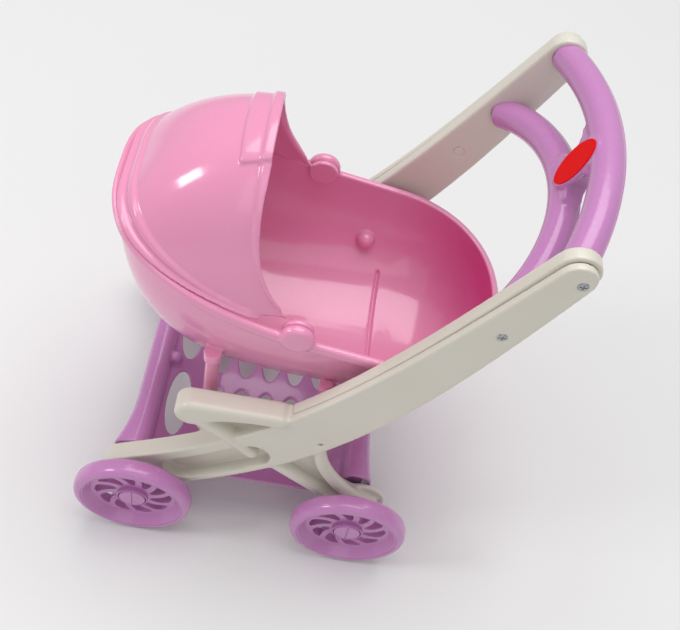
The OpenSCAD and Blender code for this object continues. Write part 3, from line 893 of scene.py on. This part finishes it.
@dataclass
class Handle:
    """The lilac twin-tube handle with its plate, its web and its red badge, in millimetres."""

    finish: Finish = LILAC
    badge_finish: Finish = RED
    skin: Skin = Skin(1.15, 7, 130000)
    half_w: float = 101.6
    tube_r: float = 12.0
    seam_r: float = 0.3
    into_arm: float = 3.0
    upper: Tube = Tube(283.0, 412.5, 23.0, 28.0)
    lower: Tube = Tube(252.0, 349.0, 45.0, 35.0)
    badge_half: Pair = (12.4, 24.6)
    badge_shift: Pair = (5.0, 5.0)
    badge_turn: float = 9.8
    badge_t: float = 0.8
    plate_margin: float = 2.2
    plate_face: float = 12.4
    plate_t: float = 4.2
    web_half: Pair = (24.0, 24.0)
    web_height: float = 2.5
    web_t: float = 15.0
    bite_r: float = 12.4
    bite_x: float = 25.0
    bite_depth: float = 40.0

    def build(self) -> None:
        """Makes the tubes, plate and web as one moulding with its parting seams, then the badge."""
        tubes = (self.upper, self.lower)
        parts = [*(self._tube(tube) for tube in tubes), self._plate(), self._web()]
        handle = fused(joined(parts), self.skin)
        handle = joined([handle, *(self._parting_line(tube) for tube in tubes)])
        handle.name = "handle_moulding"
        dress(handle, self.finish, "chassis", ["handle_upper_shell", "handle_lower_shell"])
        badge = self._on_plate(self.badge_half, self.plate_face + self.badge_t / 2, self.badge_t)
        badge.name = "handle_badge_film"
        dress(badge, self.badge_finish, "chassis", ["handle_badge"])

    def _arc_point(self, tube: Tube, turn: float, out: float, up: float) -> Vector:
        """Point beside a tube's middle line.

        Args:
            tube: The tube.
            turn: Share of the way along it.
            out: How far out from the bend's centre.
            up: How far up from the bend's plane.

        Returns:
            The point in metres.
        """
        bend_r = (self.half_w ** 2 + tube.bulge ** 2) / (2 * tube.bulge)
        span = math.asin((self.half_w + self.into_arm) / bend_r)
        angle, lift = span * (2 * turn - 1), math.radians(tube.tilt)
        ahead = tube.bulge - bend_r + (bend_r + out) * math.cos(angle)
        return place((bend_r + out) * math.sin(angle), tube.y + ahead * math.cos(lift) - up * math.sin(lift),
                     tube.z + ahead * math.sin(lift) + up * math.cos(lift))

    def _pipe(self, tube: Tube, out: float, radius: float, columns: int, rows: int) -> Piece:
        """Makes a pipe that follows a tube's bend.

        Args:
            tube: The tube's middle line.
            out: How far out from that line the pipe's own middle lies.
            radius: The pipe's radius.
            columns: Steps round it.
            rows: Steps along it.

        Returns:
            The pipe, with open ends.
        """
        return lofted("pipe", columns, rows, lambda u, v: self._arc_point(
            tube, v, out + radius * math.cos(2 * math.pi * u), radius * math.sin(2 * math.pi * u)))

    def _tube(self, tube: Tube) -> Piece:
        """Makes one bent tube with closed ends."""
        return edited(self._pipe(tube, 0.0, self.tube_r, 48, 90), close_rims, face_outwards)

    def _parting_line(self, tube: Tube) -> Piece:
        """Makes the fine raised seam where the two halves of a tube meet."""
        return smooth(self._pipe(tube, self.tube_r, self.seam_r, 8, 120))

    def _frame(self) -> tuple[Vector, Vector, Vector]:
        """Finds the plane of the two tubes.

        Returns:
            The middle between the tubes, the direction up to the upper tube and the direction to the cot.
        """
        mids = []
        for tube in (self.upper, self.lower):
            lift = math.radians(tube.tilt)
            mids.append(Vector((0, tube.y + tube.bulge * math.cos(lift), tube.z + tube.bulge * math.sin(lift))))
        up = (mids[0] - mids[1]).normalized()
        return (mids[0] + mids[1]) / 2, up, Vector((0, -up.z, up.y))

    def _on_plate(self, half: Pair, height: float, thick: float, shift: Pair | None = None, box: bool = False) -> Piece:
        """Adds an oval, or a box, that lies in the plane of the plate.

        Args:
            half: Half sizes across the stroller and towards the upper tube.
            height: Height of its middle above the plane of the tubes.
            thick: Its thickness.
            shift: Its place in that plane, or None for the badge's place and turn.
            box: Whether it is a box.

        Returns:
            The piece.
        """
        middle, up, outward = self._frame()
        across, along = self.badge_shift if shift is None else shift
        centre = middle + Vector((across, 0, 0)) + up * along + outward * height
        lean = math.radians(self.badge_turn if shift is None else 0.0)
        wide = Vector((1, 0, 0)) * math.cos(lean) - up * math.sin(lean)
        tall = up * math.cos(lean) + Vector((1, 0, 0)) * math.sin(lean)
        if box:
            piece = added(bpy.ops.mesh.primitive_cube_add, size=2.0)
        else:
            piece = added(bpy.ops.mesh.primitive_cylinder_add, vertices=96, radius=1.0, depth=2.0)
        turn = Matrix((wide, tall, outward)).transposed().to_4x4()
        piece.matrix_world = Matrix.Translation(place(*centre)) @ turn @ Matrix.Diagonal(
            (half[0] * MM, half[1] * MM, thick / 2 * MM, 1.0))
        return settled(piece)

    def _plate(self) -> Piece:
        """Makes the oval plate under the badge."""
        half = (self.badge_half[0] + self.plate_margin, self.badge_half[1] + self.plate_margin)
        return self._on_plate(half, self.plate_face - self.plate_t / 2, self.plate_t)

    def _web(self) -> Piece:
        """Makes the web between the tubes, with a round bite out of each end.

        Returns:
            The web.
        """
        web = self._on_plate(self.web_half, self.web_height, self.web_t, (0.0, 0.0), box=True)
        for side in Side:
            cut_away(web, self._on_plate((self.bite_r, self.bite_r), self.web_height, self.bite_depth,
                                         (side.value * self.bite_x, 0.0)))
        return web


@dataclass
class CotCurves:
    """The curves that the tub and the hood share, in millimetres, with y from the front axle."""

    half_w: float = 95.0
    pivot_y: float = 117.0
    rim_z: float = 265.0
    foot_y: float = 186.0
    head_l: float = 153.0
    foot_l: float = 93.0
    head_power: float = 3.0
    foot_power: float = 2.2
    side_share: float = 0.125
    foot_fall: float = 0.17
    head_climb: float = 0.25
    head_sweep: float = 0.001

    @property
    def pivot(self) -> Pair:
        """The hood's axis as (y, z), in metres."""
        centre = place(0, self.pivot_y, self.rim_z)
        return centre.y, centre.z

    def rim_height(self, y: float) -> float:
        """Height of the rim, which falls in a line to the foot and climbs in a curve to the head.

        Args:
            y: Where along the stroller.

        Returns:
            The height.
        """
        if y > self.pivot_y:
            return self.rim_z - self.foot_fall * (y - self.pivot_y)
        return self.rim_z + self.head_climb * (self.pivot_y - y) + self.head_sweep * (self.pivot_y - y) ** 2

    def plan(self, turn: float, inset: float) -> Pair:
        """Point of the rim in plan.

        Args:
            turn: Share of the way round, from the left pivot.
            inset: How far inside the rim the point lies.

        Returns:
            The point as (x, y).
        """
        turn %= 1.0
        side, end = self.side_share, 0.5 - self.side_share
        if turn < side:
            return self.half_w - inset, self.pivot_y + (self.foot_y - self.pivot_y) * turn / side
        if turn < side + end:
            across, along = super_point(180 * (turn - side) / end, self.foot_power)
            return (self.half_w - inset) * across, self.foot_y + (self.foot_l - inset) * along
        if turn < 2 * side + end:
            return -(self.half_w - inset), self.foot_y + (self.pivot_y - self.foot_y) * (turn - side - end) / side
        across, along = super_point(180 + 180 * (turn - 2 * side - end) / (1 - 2 * side - end), self.head_power)
        return (self.half_w - inset) * across, self.pivot_y + (self.head_l - inset) * along


@dataclass
class Cot:
    """The pink tub on its four posts, in millimetres."""

    finish: Finish = PINK
    curves: CotCurves = field(default_factory=CotCurves)
    skin: Skin = Skin(1.0, 3)
    wall: float = 2.6
    wall_steps: int = 30
    bowl_power: float = 0.8
    spine_power: float = 0.77
    rim_out: float = 4.0
    rim_h: float = 9.0
    floor_z: float = 158.0
    boss_r: float = 14.0
    boss_x: Pair = (87.0, 96.5)
    boss_dome: float = 4.5
    stud_r: float = 8.0
    stud_at: Triple = (76.0, 165.0, 200.0)
    slot_y: float = 180.0
    slot_w: float = 3.0
    slot_half_l: float = 62.0
    slot_span: Pair = (-5.0, 50.0)
    strip_inset: float = 3.2
    strip_t: float = 2.0
    strip_y: Pair = (-2.5, 8.0)
    strip_angle: Pair = (44.0, 46.0)
    post_x: float = 86.0
    collar_r: float = 7.4
    collars: tuple[Triple, ...] = ((55.0, 212.0, 10.0), (148.5, 195.0, 6.0))

    def build(self) -> None:
        """Makes the tub and paints its posts."""
        parts = [self._shell(), self._slot_backing(), *self._bosses(), *self._studs(), *self._collars()]
        tub = fused(joined(parts), self.skin)
        tub.name = "cot_tub_moulding"
        dress(tub, self.finish, "chassis", ["cot_tub"])
        for spot in ("front", "rear"):
            for side in Side:
                paint(f"post_{spot}_{side.word}", self.finish)

    def _wall_point(self, turn: float, angle: float, inset: float, bottom: float) -> Vector:
        """Point of the wall.

        Args:
            turn: Share of the way round.
            angle: From 0 at the rim to 90 at the floor.
            inset: How far inside the rim the wall starts.
            bottom: Height of its floor.

        Returns:
            The point in metres.
        """
        x, y = self.curves.plan(turn, inset)
        spine = min(max(y, self.curves.pivot_y), self.curves.foot_y)
        top = self.curves.rim_height(y)
        turn_in = max(math.cos(math.radians(angle)), 0.0)
        drop = math.sin(math.radians(angle)) ** self.bowl_power
        return place(x * turn_in ** self.bowl_power, spine + (y - spine) * turn_in ** self.spine_power,
                     top + (bottom - top) * drop)

    def _rim_point(self, turn: float, inset: float, drop: float) -> Vector:
        """Point of the turned-down rim."""
        x, y = self.curves.plan(turn, inset)
        return place(x, y, self.curves.rim_height(y) - drop)

    def _shell(self) -> Piece:
        """Lofts the wall, its rolled rim and the floor as one closed skin, then cuts the slot.

        Returns:
            The shell.
        """
        rim = ((self.rim_out, self.rim_h - 1.5), (1.0, self.rim_h), (0.3, self.rim_h - 0.4), (0.0, self.rim_h - 1.2),
               (0.0, 5.0), (0.0, 3.0), (0.5, 1.4), (1.5, 0.4), (3.0, 0.0), (4.8, 0.1), (6.0, 0.6), (6.6, 1.6))
        angles = [90 * step / self.wall_steps for step in range(1, self.wall_steps + 1)]
        inner = self.rim_out + self.wall
        rows: list[Callable[[float], Vector]] = [
            *(lambda turn, a=angle: self._wall_point(turn, a, self.rim_out, self.floor_z) for angle in angles[::-1]),
            *(lambda turn, i=inset, d=drop: self._rim_point(turn, i, d) for inset, drop in rim),
            *(lambda turn, a=angle: self._wall_point(turn, a, inner, self.floor_z + self.wall) for angle in angles)]
        last = len(rows) - 1
        shell = lofted("cot_tub_shell", 240, last, lambda u, v: rows[round(v * last)](u))
        low, high = (place(0, self.slot_y + width, self.floor_z + height)
                     for width, height in zip((0, self.slot_w), self.slot_span))
        return cut_away(shell, block((low + high) / 2, (2 * self.slot_half_l * MM, high.y - low.y, high.z - low.z)))

    def _slot_backing(self) -> Piece:
        """Makes the curved strip under the floor that closes the slot from below.

        Returns:
            The strip.
        """
        top = self.curves.rim_height(self.slot_y)
        bottom = self.floor_z + self.strip_inset - self.rim_out
        start, sweep = self.strip_angle
        from_y, width = self.strip_y

        def at(u: float, v: float) -> Vector:
            """Point of the strip, from one side of the tub to the other."""
            angle = math.radians(start + sweep * (1 - abs(2 * u - 1)))
            side = 1 if u >= 0.5 else -1
            x = side * (self.curves.half_w - self.strip_inset) * max(math.cos(angle), 0.0) ** self.bowl_power
            return place(x, self.slot_y + from_y + width * v, top + (bottom - top) * math.sin(angle) ** self.bowl_power)

        return thickened(lofted("slot_backing", 80, 4, at), self.strip_t)

    def _bosses(self) -> list[Piece]:
        """Makes the two round pivot bosses on the rim."""
        return [cross_disc("pivot_boss", self.boss_r, side, self.boss_x, self.curves.pivot, self.boss_dome)
                for side in Side]

    def _studs(self) -> list[Piece]:
        """Makes the round studs inside the two long walls."""
        x, y, z = self.stud_at
        return [settled(ball(place(side.value * x, y, z), self.stud_r * MM, 40)) for side in Side]

    def _collars(self) -> list[Piece]:
        """Makes the four collars that the posts enter.

        Returns:
            The collars.
        """
        made = []
        for side in Side:
            for y, z, height in self.collars:
                made.append(settled(added(
                    bpy.ops.mesh.primitive_cylinder_add, vertices=48, radius=self.collar_r * MM, depth=height * MM,
                    location=place(side.value * self.post_x, y, z + height / 2))))
        return made


@dataclass
class Hood:
    """The pink hood that lifts about its two ear pins, in millimetres.

    A step of its skin is (height, share where it starts, share where it ends).
    """

    finish: Finish = PINK
    curves: CotCurves = field(default_factory=CotCurves)
    skin: Skin = Skin(0.95, 3)
    half_w: float = 82.0
    rise: float = 133.0
    base_half_w: float = 85.0
    base_l: float = 144.0
    arch_power: float = 2.2
    base_power: float = 3.5
    edge_angle: float = 4.0
    open_angle: float = 74.0
    open_sweep: float = 34.0
    open_power: float = 1.2
    seat_gap: float = 1.0
    wall: float = 2.6
    lip: Triple = (2.4, 0.052, 0.075)
    bead: tuple[Triple, ...] = ((2.2, 0.872, 0.892), (-1.5, 0.93, 0.94), (3.6, 0.952, 0.975))
    pad: Triple = (2.6, 0.185, 0.205)
    pad_half_angle: Pair = (21.0, 23.0)
    plain_reach: Pair = (20.0, 38.0)
    ear_r: float = 12.5
    ear_x: Pair = (82.6, 87.2)
    ear_edge: float = 0.8
    pin_r: float = 3.0
    pin_x: Pair = (86.2, 94.0)
    pin_edge: float = 0.3

    def build(self) -> None:
        """Makes the hood with its ears and pins."""
        sheet = thickened(lofted("hood_shell", 220, 170, self._point), self.wall, -1.0)
        ears = [cross_disc("ear", self.ear_r, side, self.ear_x, self.curves.pivot, self.ear_edge) for side in Side]
        pins = [cross_disc("pin", self.pin_r, side, self.pin_x, self.curves.pivot, self.pin_edge) for side in Side]
        hood = fused(joined([sheet, *ears, *pins]), self.skin)
        hood.name = "hood_moulding"
        dress(hood, self.finish, "hood", ["hood"])

    def _swell(self, share: float, reach: float, angle: float) -> float:
        """How far the hood stands out: its lip, its raised pad, its bead and the flare over the rim.

        Args:
            share: Share of the way from the open edge to the rim.
            reach: Distance from the pivot.
            angle: Angle across the hood in degrees.

        Returns:
            The distance.
        """
        start, end = self.plain_reach
        clear = min(max((reach - start) / (end - start), 0.0), 1.0)
        lip = self.lip[0] * (1 - ease(share, *self.lip[1:]))
        bead = sum(height * ease(share, low, high) for height, low, high in self.bead)
        pad = self.pad[0] * (1 - ease(share, *self.pad[1:])) * (1 - ease(abs(angle - 90), *self.pad_half_angle))
        return clear * (lip + bead) + pad

    def _point(self, across: float, share: float) -> Vector:
        """Point of the outer skin.

        Args:
            across: Share of the way across the hood.
            share: Share of the way from its open edge to the rim.

        Returns:
            The point in metres.
        """
        angle = self.edge_angle + (180 - 2 * self.edge_angle) * across
        arch, base = super_point(angle, self.arch_power), super_point(angle, self.base_power)
        arch_r, base_y = self.rise * arch[1], self.base_l * base[1]
        base_up = self.curves.rim_height(self.curves.pivot_y - base_y) + self.seat_gap - self.curves.rim_z
        base_r, base_angle = math.hypot(base_y, base_up), math.degrees(math.atan2(base_up, base_y))
        open_angle = self.open_angle - self.open_sweep * max(0.0, 1 - arch_r / self.rise) ** self.open_power
        x = self.half_w * arch[0] * (1 - share) + self.base_half_w * base[0] * share
        reach = arch_r * (1 - share) + base_r * share
        tilt = math.radians(open_angle * (1 - share) + base_angle * share)
        out = self._swell(share, reach, angle)
        x *= 1 + out / self.half_w
        reach *= 1 + out / self.rise
        return place(x, self.curves.pivot_y - reach * math.cos(tilt), self.curves.rim_z + reach * math.sin(tilt))


@dataclass
class Basket:
    """The lilac tray under the cot, with a round hump over each axle, in millimetres."""

    finish: Finish = LILAC
    skin: Skin = Skin(1.0, 4)
    half_w: float = 101.2
    thick: float = 3.0
    hump_r: float = 9.5
    arch_steps: int = 12
    front_hump: Pair = (-3.5, 75.0)
    rear_hump: Pair = (190.5, 77.5)
    floor_line: tuple[Pair, ...] = ((7, 70), (14, 67.5), (27, 61), (42, 54), (54, 48.3), (66, 47.5),
                                    (150, 47.5), (160, 49.5), (170, 57), (179, 69))
    skirt_z: float = 42.0
    flare_in_x: float = 48.0
    flare: Pair = (10.0, 5.0)
    flare_from: float = 4.0
    holes_y: tuple[float, ...] = (21.0, 53.0, 77.0, 101.0, 125.0, 149.0)
    hole_x: float = 42.0
    hole_z: float = 56.0
    hole_half: Triple = (34.5, 10.0, 18.0)
    ribs_x: tuple[float, ...] = (-95.5, -31.5, 31.5, 95.5)
    rib_t: float = 3.0
    rib_gap: float = 1.0
    rib_foot: float = 54.0
    knob: Triple = (0.0, 11.0, 81.0)
    knob_foot: float = 62.0
    knob_r: float = 6.0

    def build(self) -> None:
        """Makes the tray."""
        tray = joined([self._sheet(), *self._ribs(), self._knob()])
        dress(fused(tray, self.skin), self.finish, "chassis", ["basket"])
        tray.name = "basket_moulding"

    def _arch(self, hump: Pair) -> list[Pair]:
        """Points of one hump's round top, as (y, z), from front to back."""
        turns = [math.pi * step / self.arch_steps for step in range(self.arch_steps + 1)]
        return [(hump[0] - self.hump_r * math.cos(turn), hump[1] + self.hump_r * math.sin(turn)) for turn in turns]

    def _sheet_point(self, u: float, v: float, line: Sequence[Pair]) -> Vector:
        """Point of the sheet; the humps swell outwards towards the two sides.

        Args:
            u: Share of the way across.
            v: Share of the way along the section.
            line: The section, as (y, z).

        Returns:
            The point in metres.
        """
        last = len(line) - 1
        step = min(int(v * last + 1e-6), last - 1)
        share = v * last - step
        y, z = (low * (1 - share) + high * share for low, high in zip(line[step], line[step + 1]))
        x = self.half_w * (2 * u - 1)
        swell = max(0.0, (abs(x) - self.flare_in_x) / (self.half_w - self.flare_in_x)) ** 2
        front, rear = self.front_hump[0], self.rear_hump[0]
        y -= self.flare[0] * swell * ease(-y, -front - self.flare_from, -front + self.hump_r)
        y += self.flare[1] * swell * ease(y, rear - self.flare_from, rear + self.hump_r)
        return place(x, y, z)

    def _sheet(self) -> Piece:
        """Lofts the sheet, gives it its wall and cuts the oval holes.

        Returns:
            The sheet.
        """
        skirts = (self.front_hump[0] - self.hump_r, self.rear_hump[0] + self.hump_r)
        line = [(skirts[0], self.skirt_z), *self._arch(self.front_hump), *self.floor_line,
                *self._arch(self.rear_hump), (skirts[1], self.skirt_z)]
        sheet = thickened(lofted("basket_sheet", 48, (len(line) - 1) * 2, lambda u, v: self._sheet_point(u, v, line)),
                          self.thick)
        return cut_away(sheet, joined([self._hole(side.value * self.hole_x, y) for y in self.holes_y for side in Side]))

    def _hole(self, x: float, y: float) -> Piece:
        """Makes the cutter for one oval hole.

        Args:
            x: Its place across the stroller.
            y: Its place along the stroller.

        Returns:
            The cutter.
        """
        cutter = added(bpy.ops.mesh.primitive_cylinder_add, vertices=64, radius=1.0, depth=2.0,
                       location=place(x, y, self.hole_z))
        cutter.scale = [half * MM for half in self.hole_half]
        return settled(cutter)

    def _ribs(self) -> list[Piece]:
        """Makes the upright ribs inside the humps, which sit on the axles.

        Returns:
            The ribs.
        """
        made = []
        for hump_y, hump_z in (self.front_hump, self.rear_hump):
            top = hump_z + self.hump_r - self.rib_gap
            size = (self.rib_t * MM, (2 * self.hump_r - self.thick) * MM, (top - self.rib_foot) * MM)
            made += [block(place(x, hump_y, (top + self.rib_foot) / 2), size) for x in self.ribs_x]
        return made

    def _knob(self) -> Piece:
        """Makes the round knob in the middle behind the front hump."""
        x, y, top = self.knob
        return rod("knob", place(x, y, self.knob_foot), place(x, y, top - self.knob_r), self.knob_r * MM)


@dataclass
class Wheels:
    """The four lilac wheels with their hub caps, in millimetres.

    A section's points are (radius, depth from the inner face).
    """

    finish: Finish = LILAC
    places: tuple[str, ...] = ("front", "rear")
    wheel_r: float = 52.0
    in_x: float = 119.4
    width: float = 24.0
    crown: float = 6.6
    crown_power: float = 0.78
    crown_steps: int = 24
    tyre_in: float = 7.2
    back: tuple[Pair, ...] = ((2.6, 0), (10.4, 0), (12.2, 1.4), (12.4, 6.2), (14, 7), (34.6, 7), (38, 7.6), (42.6, 8),
                              (44, 7.6))
    face: tuple[Pair, ...] = ((45.0, 23.95), (44.7, 23.4), (44.2, 23.4), (43.9, 23.8), (43.3, 23.7), (42.6, 22.9),
                              (41.8, 21.8))
    dish: tuple[Pair, ...] = ((37.8, 16.3), (37.1, 15.4), (36.4, 15.0), (14.3, 15.0), (13.7, 15.3), (13.5, 19.2),
                              (13.1, 19.6), (12.7, 19.6), (12.4, 19.2), (12.4, 15.6), (2.6, 15.6))
    windows: int = 10
    window_r: Pair = (15.4, 34.6)
    window_depth: float = 11.0
    window_cut: float = 14.0
    corner_power: float = 7.0
    spoke_half: float = 2.9
    least_half: float = 0.15
    lean: float = 22.0
    lean_power: float = 1.5
    cap_r: float = 11.6
    cap_d: Pair = (16.5, 20.0)
    cap_edge: float = 0.7
    cap_slot: Triple = (2.0, 1.0, 30.0)

    def build(self) -> None:
        """Makes one wheel and one cap, then a copy of both for every corner."""
        wheel, cap = self._wheel(), self._cap()
        for spot in self.places:
            for side in Side:
                body = f"wheel_{spot}_{side.word}"
                low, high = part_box(f"{spot}_axle")
                shift = Vector((0, (low.y + high.y) / 2, (low.z + high.z) / 2))
                for model, node in ((wheel, body), (cap, f"hub_cap_{spot}_{side.word}")):
                    piece = self._placed(model, f"{node}_moulding", side, shift)
                    dress(piece, self.finish, body, [node])
        for model in (wheel, cap):
            bpy.data.objects.remove(model)

    def _placed(self, model: Piece, name: str, side: Side, shift: Vector) -> Piece:
        """Copies a model to one corner, mirrored for the right side.

        Args:
            model: The model, on the left side and about the origin.
            name: The copy's name.
            side: The side that it goes to.
            shift: Where the axle lies, in metres.

        Returns:
            The copy.
        """
        piece = model.copy()
        piece.data = model.data.copy()
        piece.name = name
        bpy.context.scene.collection.objects.link(piece)
        for vertex in piece.data.vertices:
            vertex.co = Vector((vertex.co.x * side.value, vertex.co.y, vertex.co.z)) + shift
        return edited(piece, bpy.ops.mesh.flip_normals) if side is Side.RIGHT else piece

    def _spun_point(self, radius: float, depth: float, angle: float) -> Vector:
        """Point at a radius and an angle round the axle, at a depth from the wheel's inner face."""
        turn = math.radians(angle)
        return Vector((self.in_x + depth, radius * math.sin(turn), -radius * math.cos(turn))) * MM

    def _crown(self) -> list[Pair]:
        """Section of the tyre's rounded tread.

        Returns:
            Its points, from the inner side out.
        """
        points = []
        for step in range(self.crown_steps + 1):
            turn = math.radians(-90 + 180 * step / self.crown_steps)
            across = math.copysign(abs(math.sin(turn)) ** self.crown_power, math.sin(turn))
            points.append((self.wheel_r - self.crown + self.crown * math.cos(turn) ** self.crown_power,
                           self.tyre_in + (self.width - self.tyre_in) / 2 * (1 + across)))
        return points

    def _wheel(self) -> Piece:
        """Spins the half section round the axle and cuts the curved windows.

        Returns:
            The wheel, on the left side and about the origin.
        """
        section = [*self.back, *self._crown(), *self.face, *self.dish]
        count = len(section)
        wheel = lofted("wheel", 144, count, lambda u, v: self._spun_point(*section[round(v * count) % count], 360 * u))
        cutters = []
        for number in range(self.windows):
            sheet = lofted("window", 10, 16, lambda u, v, n=number: self._window_point(2 * u - 1, v, n))
            cutters.append(edited(thickened(sheet, self.window_cut), face_outwards))
        return smooth_but_edges(cut_away(wheel, joined(cutters)))

    def _window_point(self, across: float, outward: float, number: int) -> Vector:
        """Point of a window between two curved spokes.

        Args:
            across: Share of the half window, from -1 to 1.
            outward: Share of the way outwards.
            number: The window's number.

        Returns:
            The point in metres.
        """
        low, high = self.window_r
        radius = low + (high - low) * outward
        half = 180 / self.windows - math.degrees(math.asin(self.spoke_half / radius))
        narrow = max(1 - abs(2 * outward - 1) ** self.corner_power, 0.0) ** 0.5
        half = max(half * narrow, self.least_half)
        angle = 360 * number / self.windows + self.lean * outward ** self.lean_power + across * half
        return self._spun_point(radius, self.window_depth, angle)

    def _cap(self) -> Piece:
        """Makes the hub cap with its slot.

        Returns:
            The cap, on the left side and about the origin.
        """
        low, high = (self.in_x + depth for depth in self.cap_d)
        cap = cross_disc("hub_cap", self.cap_r, Side.LEFT, (low, high), (0.0, 0.0), self.cap_edge)
        slot = block(Vector((high * MM, 0, 0)), [size * MM for size in self.cap_slot])
        return smooth_but_edges(cut_away(cap, slot))


@dataclass
class Hardware:
    """Axles, retaining rings and screws, with cream caps over the screws inside the arms, in millimetres."""

    finish: Finish = STEEL
    cap_finish: Finish = CREAM
    nodes: tuple[str, ...] = ("front_axle", "rear_axle", "axle_retainers", "handle_screws")
    arm_points: tuple[Pair, ...] = ((-8, 60), (137, 132), (192, 225), (282, 412))
    cap_at: Pair = (11 / 18, 14 / 18)
    cap_r: float = 4.2
    cap_x: Pair = (101.45, 104.0)
    cap_edge: float = 0.25

    def build(self) -> None:
        """Paints the steel pieces and makes the caps."""
        for node in self.nodes:
            paint(node, self.finish)
        caps = smooth_but_edges(joined([self._cap(share, side) for share in self.cap_at for side in Side]))
        caps.name = "cover_screw_caps"
        dress(caps, self.cap_finish, "chassis", ["cover_screws"])

    def _cap(self, share: float, side: Side) -> Piece:
        """Makes one cap on the arm's middle line.

        Args:
            share: Share of the way along the line.
            side: The side that it lies on.

        Returns:
            The cap.
        """
        points = [Vector(point) for point in self.arm_points]
        while len(points) > 1:
            points = [first.lerp(second, share) for first, second in zip(points, points[1:])]
        centre = place(0, *points[0])
        return cross_disc("cap", self.cap_r, side, self.cap_x, (centre.y, centre.z), self.cap_edge)


# ---------------------------------------------------------------- studio


@dataclass(frozen=True)
class Lamp:
    """A square lamp: its place and its size in metres, and its power in watts."""

    name: str
    at: Triple
    size: float
    power: float


@dataclass
class Studio:
    """The camera, the soft lights and the pale floor, in metres."""

    camera_at: Triple = (0.53059, -0.02558, 0.87712)
    looks_along: Triple = (-0.60636, 0.05265, -0.79344)
    roll: float = 13.71
    lens: float = 53.39
    sensor: float = 36.0
    floor_size: float = 12.0
    floor_gap: float = 0.0004
    floor_shade: float = 0.775
    world_strength: float = 0.48
    lamps_aim: Triple = (0.0, 0.0, 0.2)
    lamps: tuple[Lamp, ...] = (
        Lamp("front_soft_box", (0.46, -1.64, 1.48), 0.5, 9.0),
        Lamp("overhead_panel", (-0.6, 0.2, 3.0), 2.4, 56.0),
        Lamp("near_fill", (1.9, 0.3, 1.7), 1.6, 4.8))

    def build(self) -> None:
        """Makes the camera, the floor, the lamps and the world."""
        self._camera()
        self._floor()
        self._lamps()
        self._world()

    def _camera(self) -> None:
        """Places the camera."""
        forward = Vector(self.looks_along).normalized()
        level = forward.cross(Vector((0, 0, 1))).normalized()
        above = level.cross(forward)
        turn = math.radians(self.roll)
        right = level * math.cos(turn) + above * math.sin(turn)
        up = above * math.cos(turn) - level * math.sin(turn)
        data = bpy.data.cameras.new("camera")
        data.lens = self.lens
        data.sensor_width = self.sensor
        data.clip_start = 0.01
        camera = bpy.data.objects.new("camera", data)
        pose = Matrix((right, up, -forward)).transposed().to_4x4()
        pose.translation = Vector(self.camera_at)
        camera.matrix_world = pose
        bpy.context.scene.collection.objects.link(camera)
        bpy.context.scene.camera = camera

    def _floor(self) -> None:
        """Lays the pale floor just under the wheels."""
        floor = added(bpy.ops.mesh.primitive_plane_add, size=self.floor_size,
                      location=(0, 0, CAD_BOX[0][2] - self.floor_gap))
        floor.name = "floor"
        material, _, shader = new_material("floor_paper")
        shader.inputs["Roughness"].default_value = 0.9
        shader.inputs["Specular IOR Level"].default_value = 0.1
        shader.inputs["Base Color"].default_value = (self.floor_shade,) * 3 + (1.0,)
        floor.data.materials.append(material)

    def _lamps(self) -> None:
        """Hangs the small soft box, the large panel overhead and the fill lamp."""
        for lamp in self.lamps:
            data = bpy.data.lights.new(lamp.name, "AREA")
            data.shape = "SQUARE"
            data.size = lamp.size
            data.energy = lamp.power
            hung = bpy.data.objects.new(lamp.name, data)
            hung.location = lamp.at
            hung.rotation_euler = (Vector(self.lamps_aim) - Vector(lamp.at)).to_track_quat("-Z", "Y").to_euler()
            bpy.context.scene.collection.objects.link(hung)

    def _world(self) -> None:
        """Sets an even pale surrounding light."""
        world = bpy.data.worlds.new("studio")
        world.use_nodes = True
        backdrop = world.node_tree.nodes["Background"]
        backdrop.inputs["Color"].default_value = (1.0, 1.0, 1.0, 1.0)
        backdrop.inputs["Strength"].default_value = self.world_strength
        bpy.context.scene.world = world
        bpy.context.scene.view_settings.view_transform = "Standard"


def main() -> None:
    """Builds the studio and every sub-assembly."""
    logging.basicConfig(level=logging.INFO, format="%(name)s %(message)s")
    Studio().build()
    for part in (SideFrame(Side.LEFT), SideFrame(Side.RIGHT), Handle(), Cot(), Hood(), Basket(), Wheels(), Hardware()):
        part.build()
        log.info("%s built", type(part).__name__)


if __name__ == "__main__":
    main()
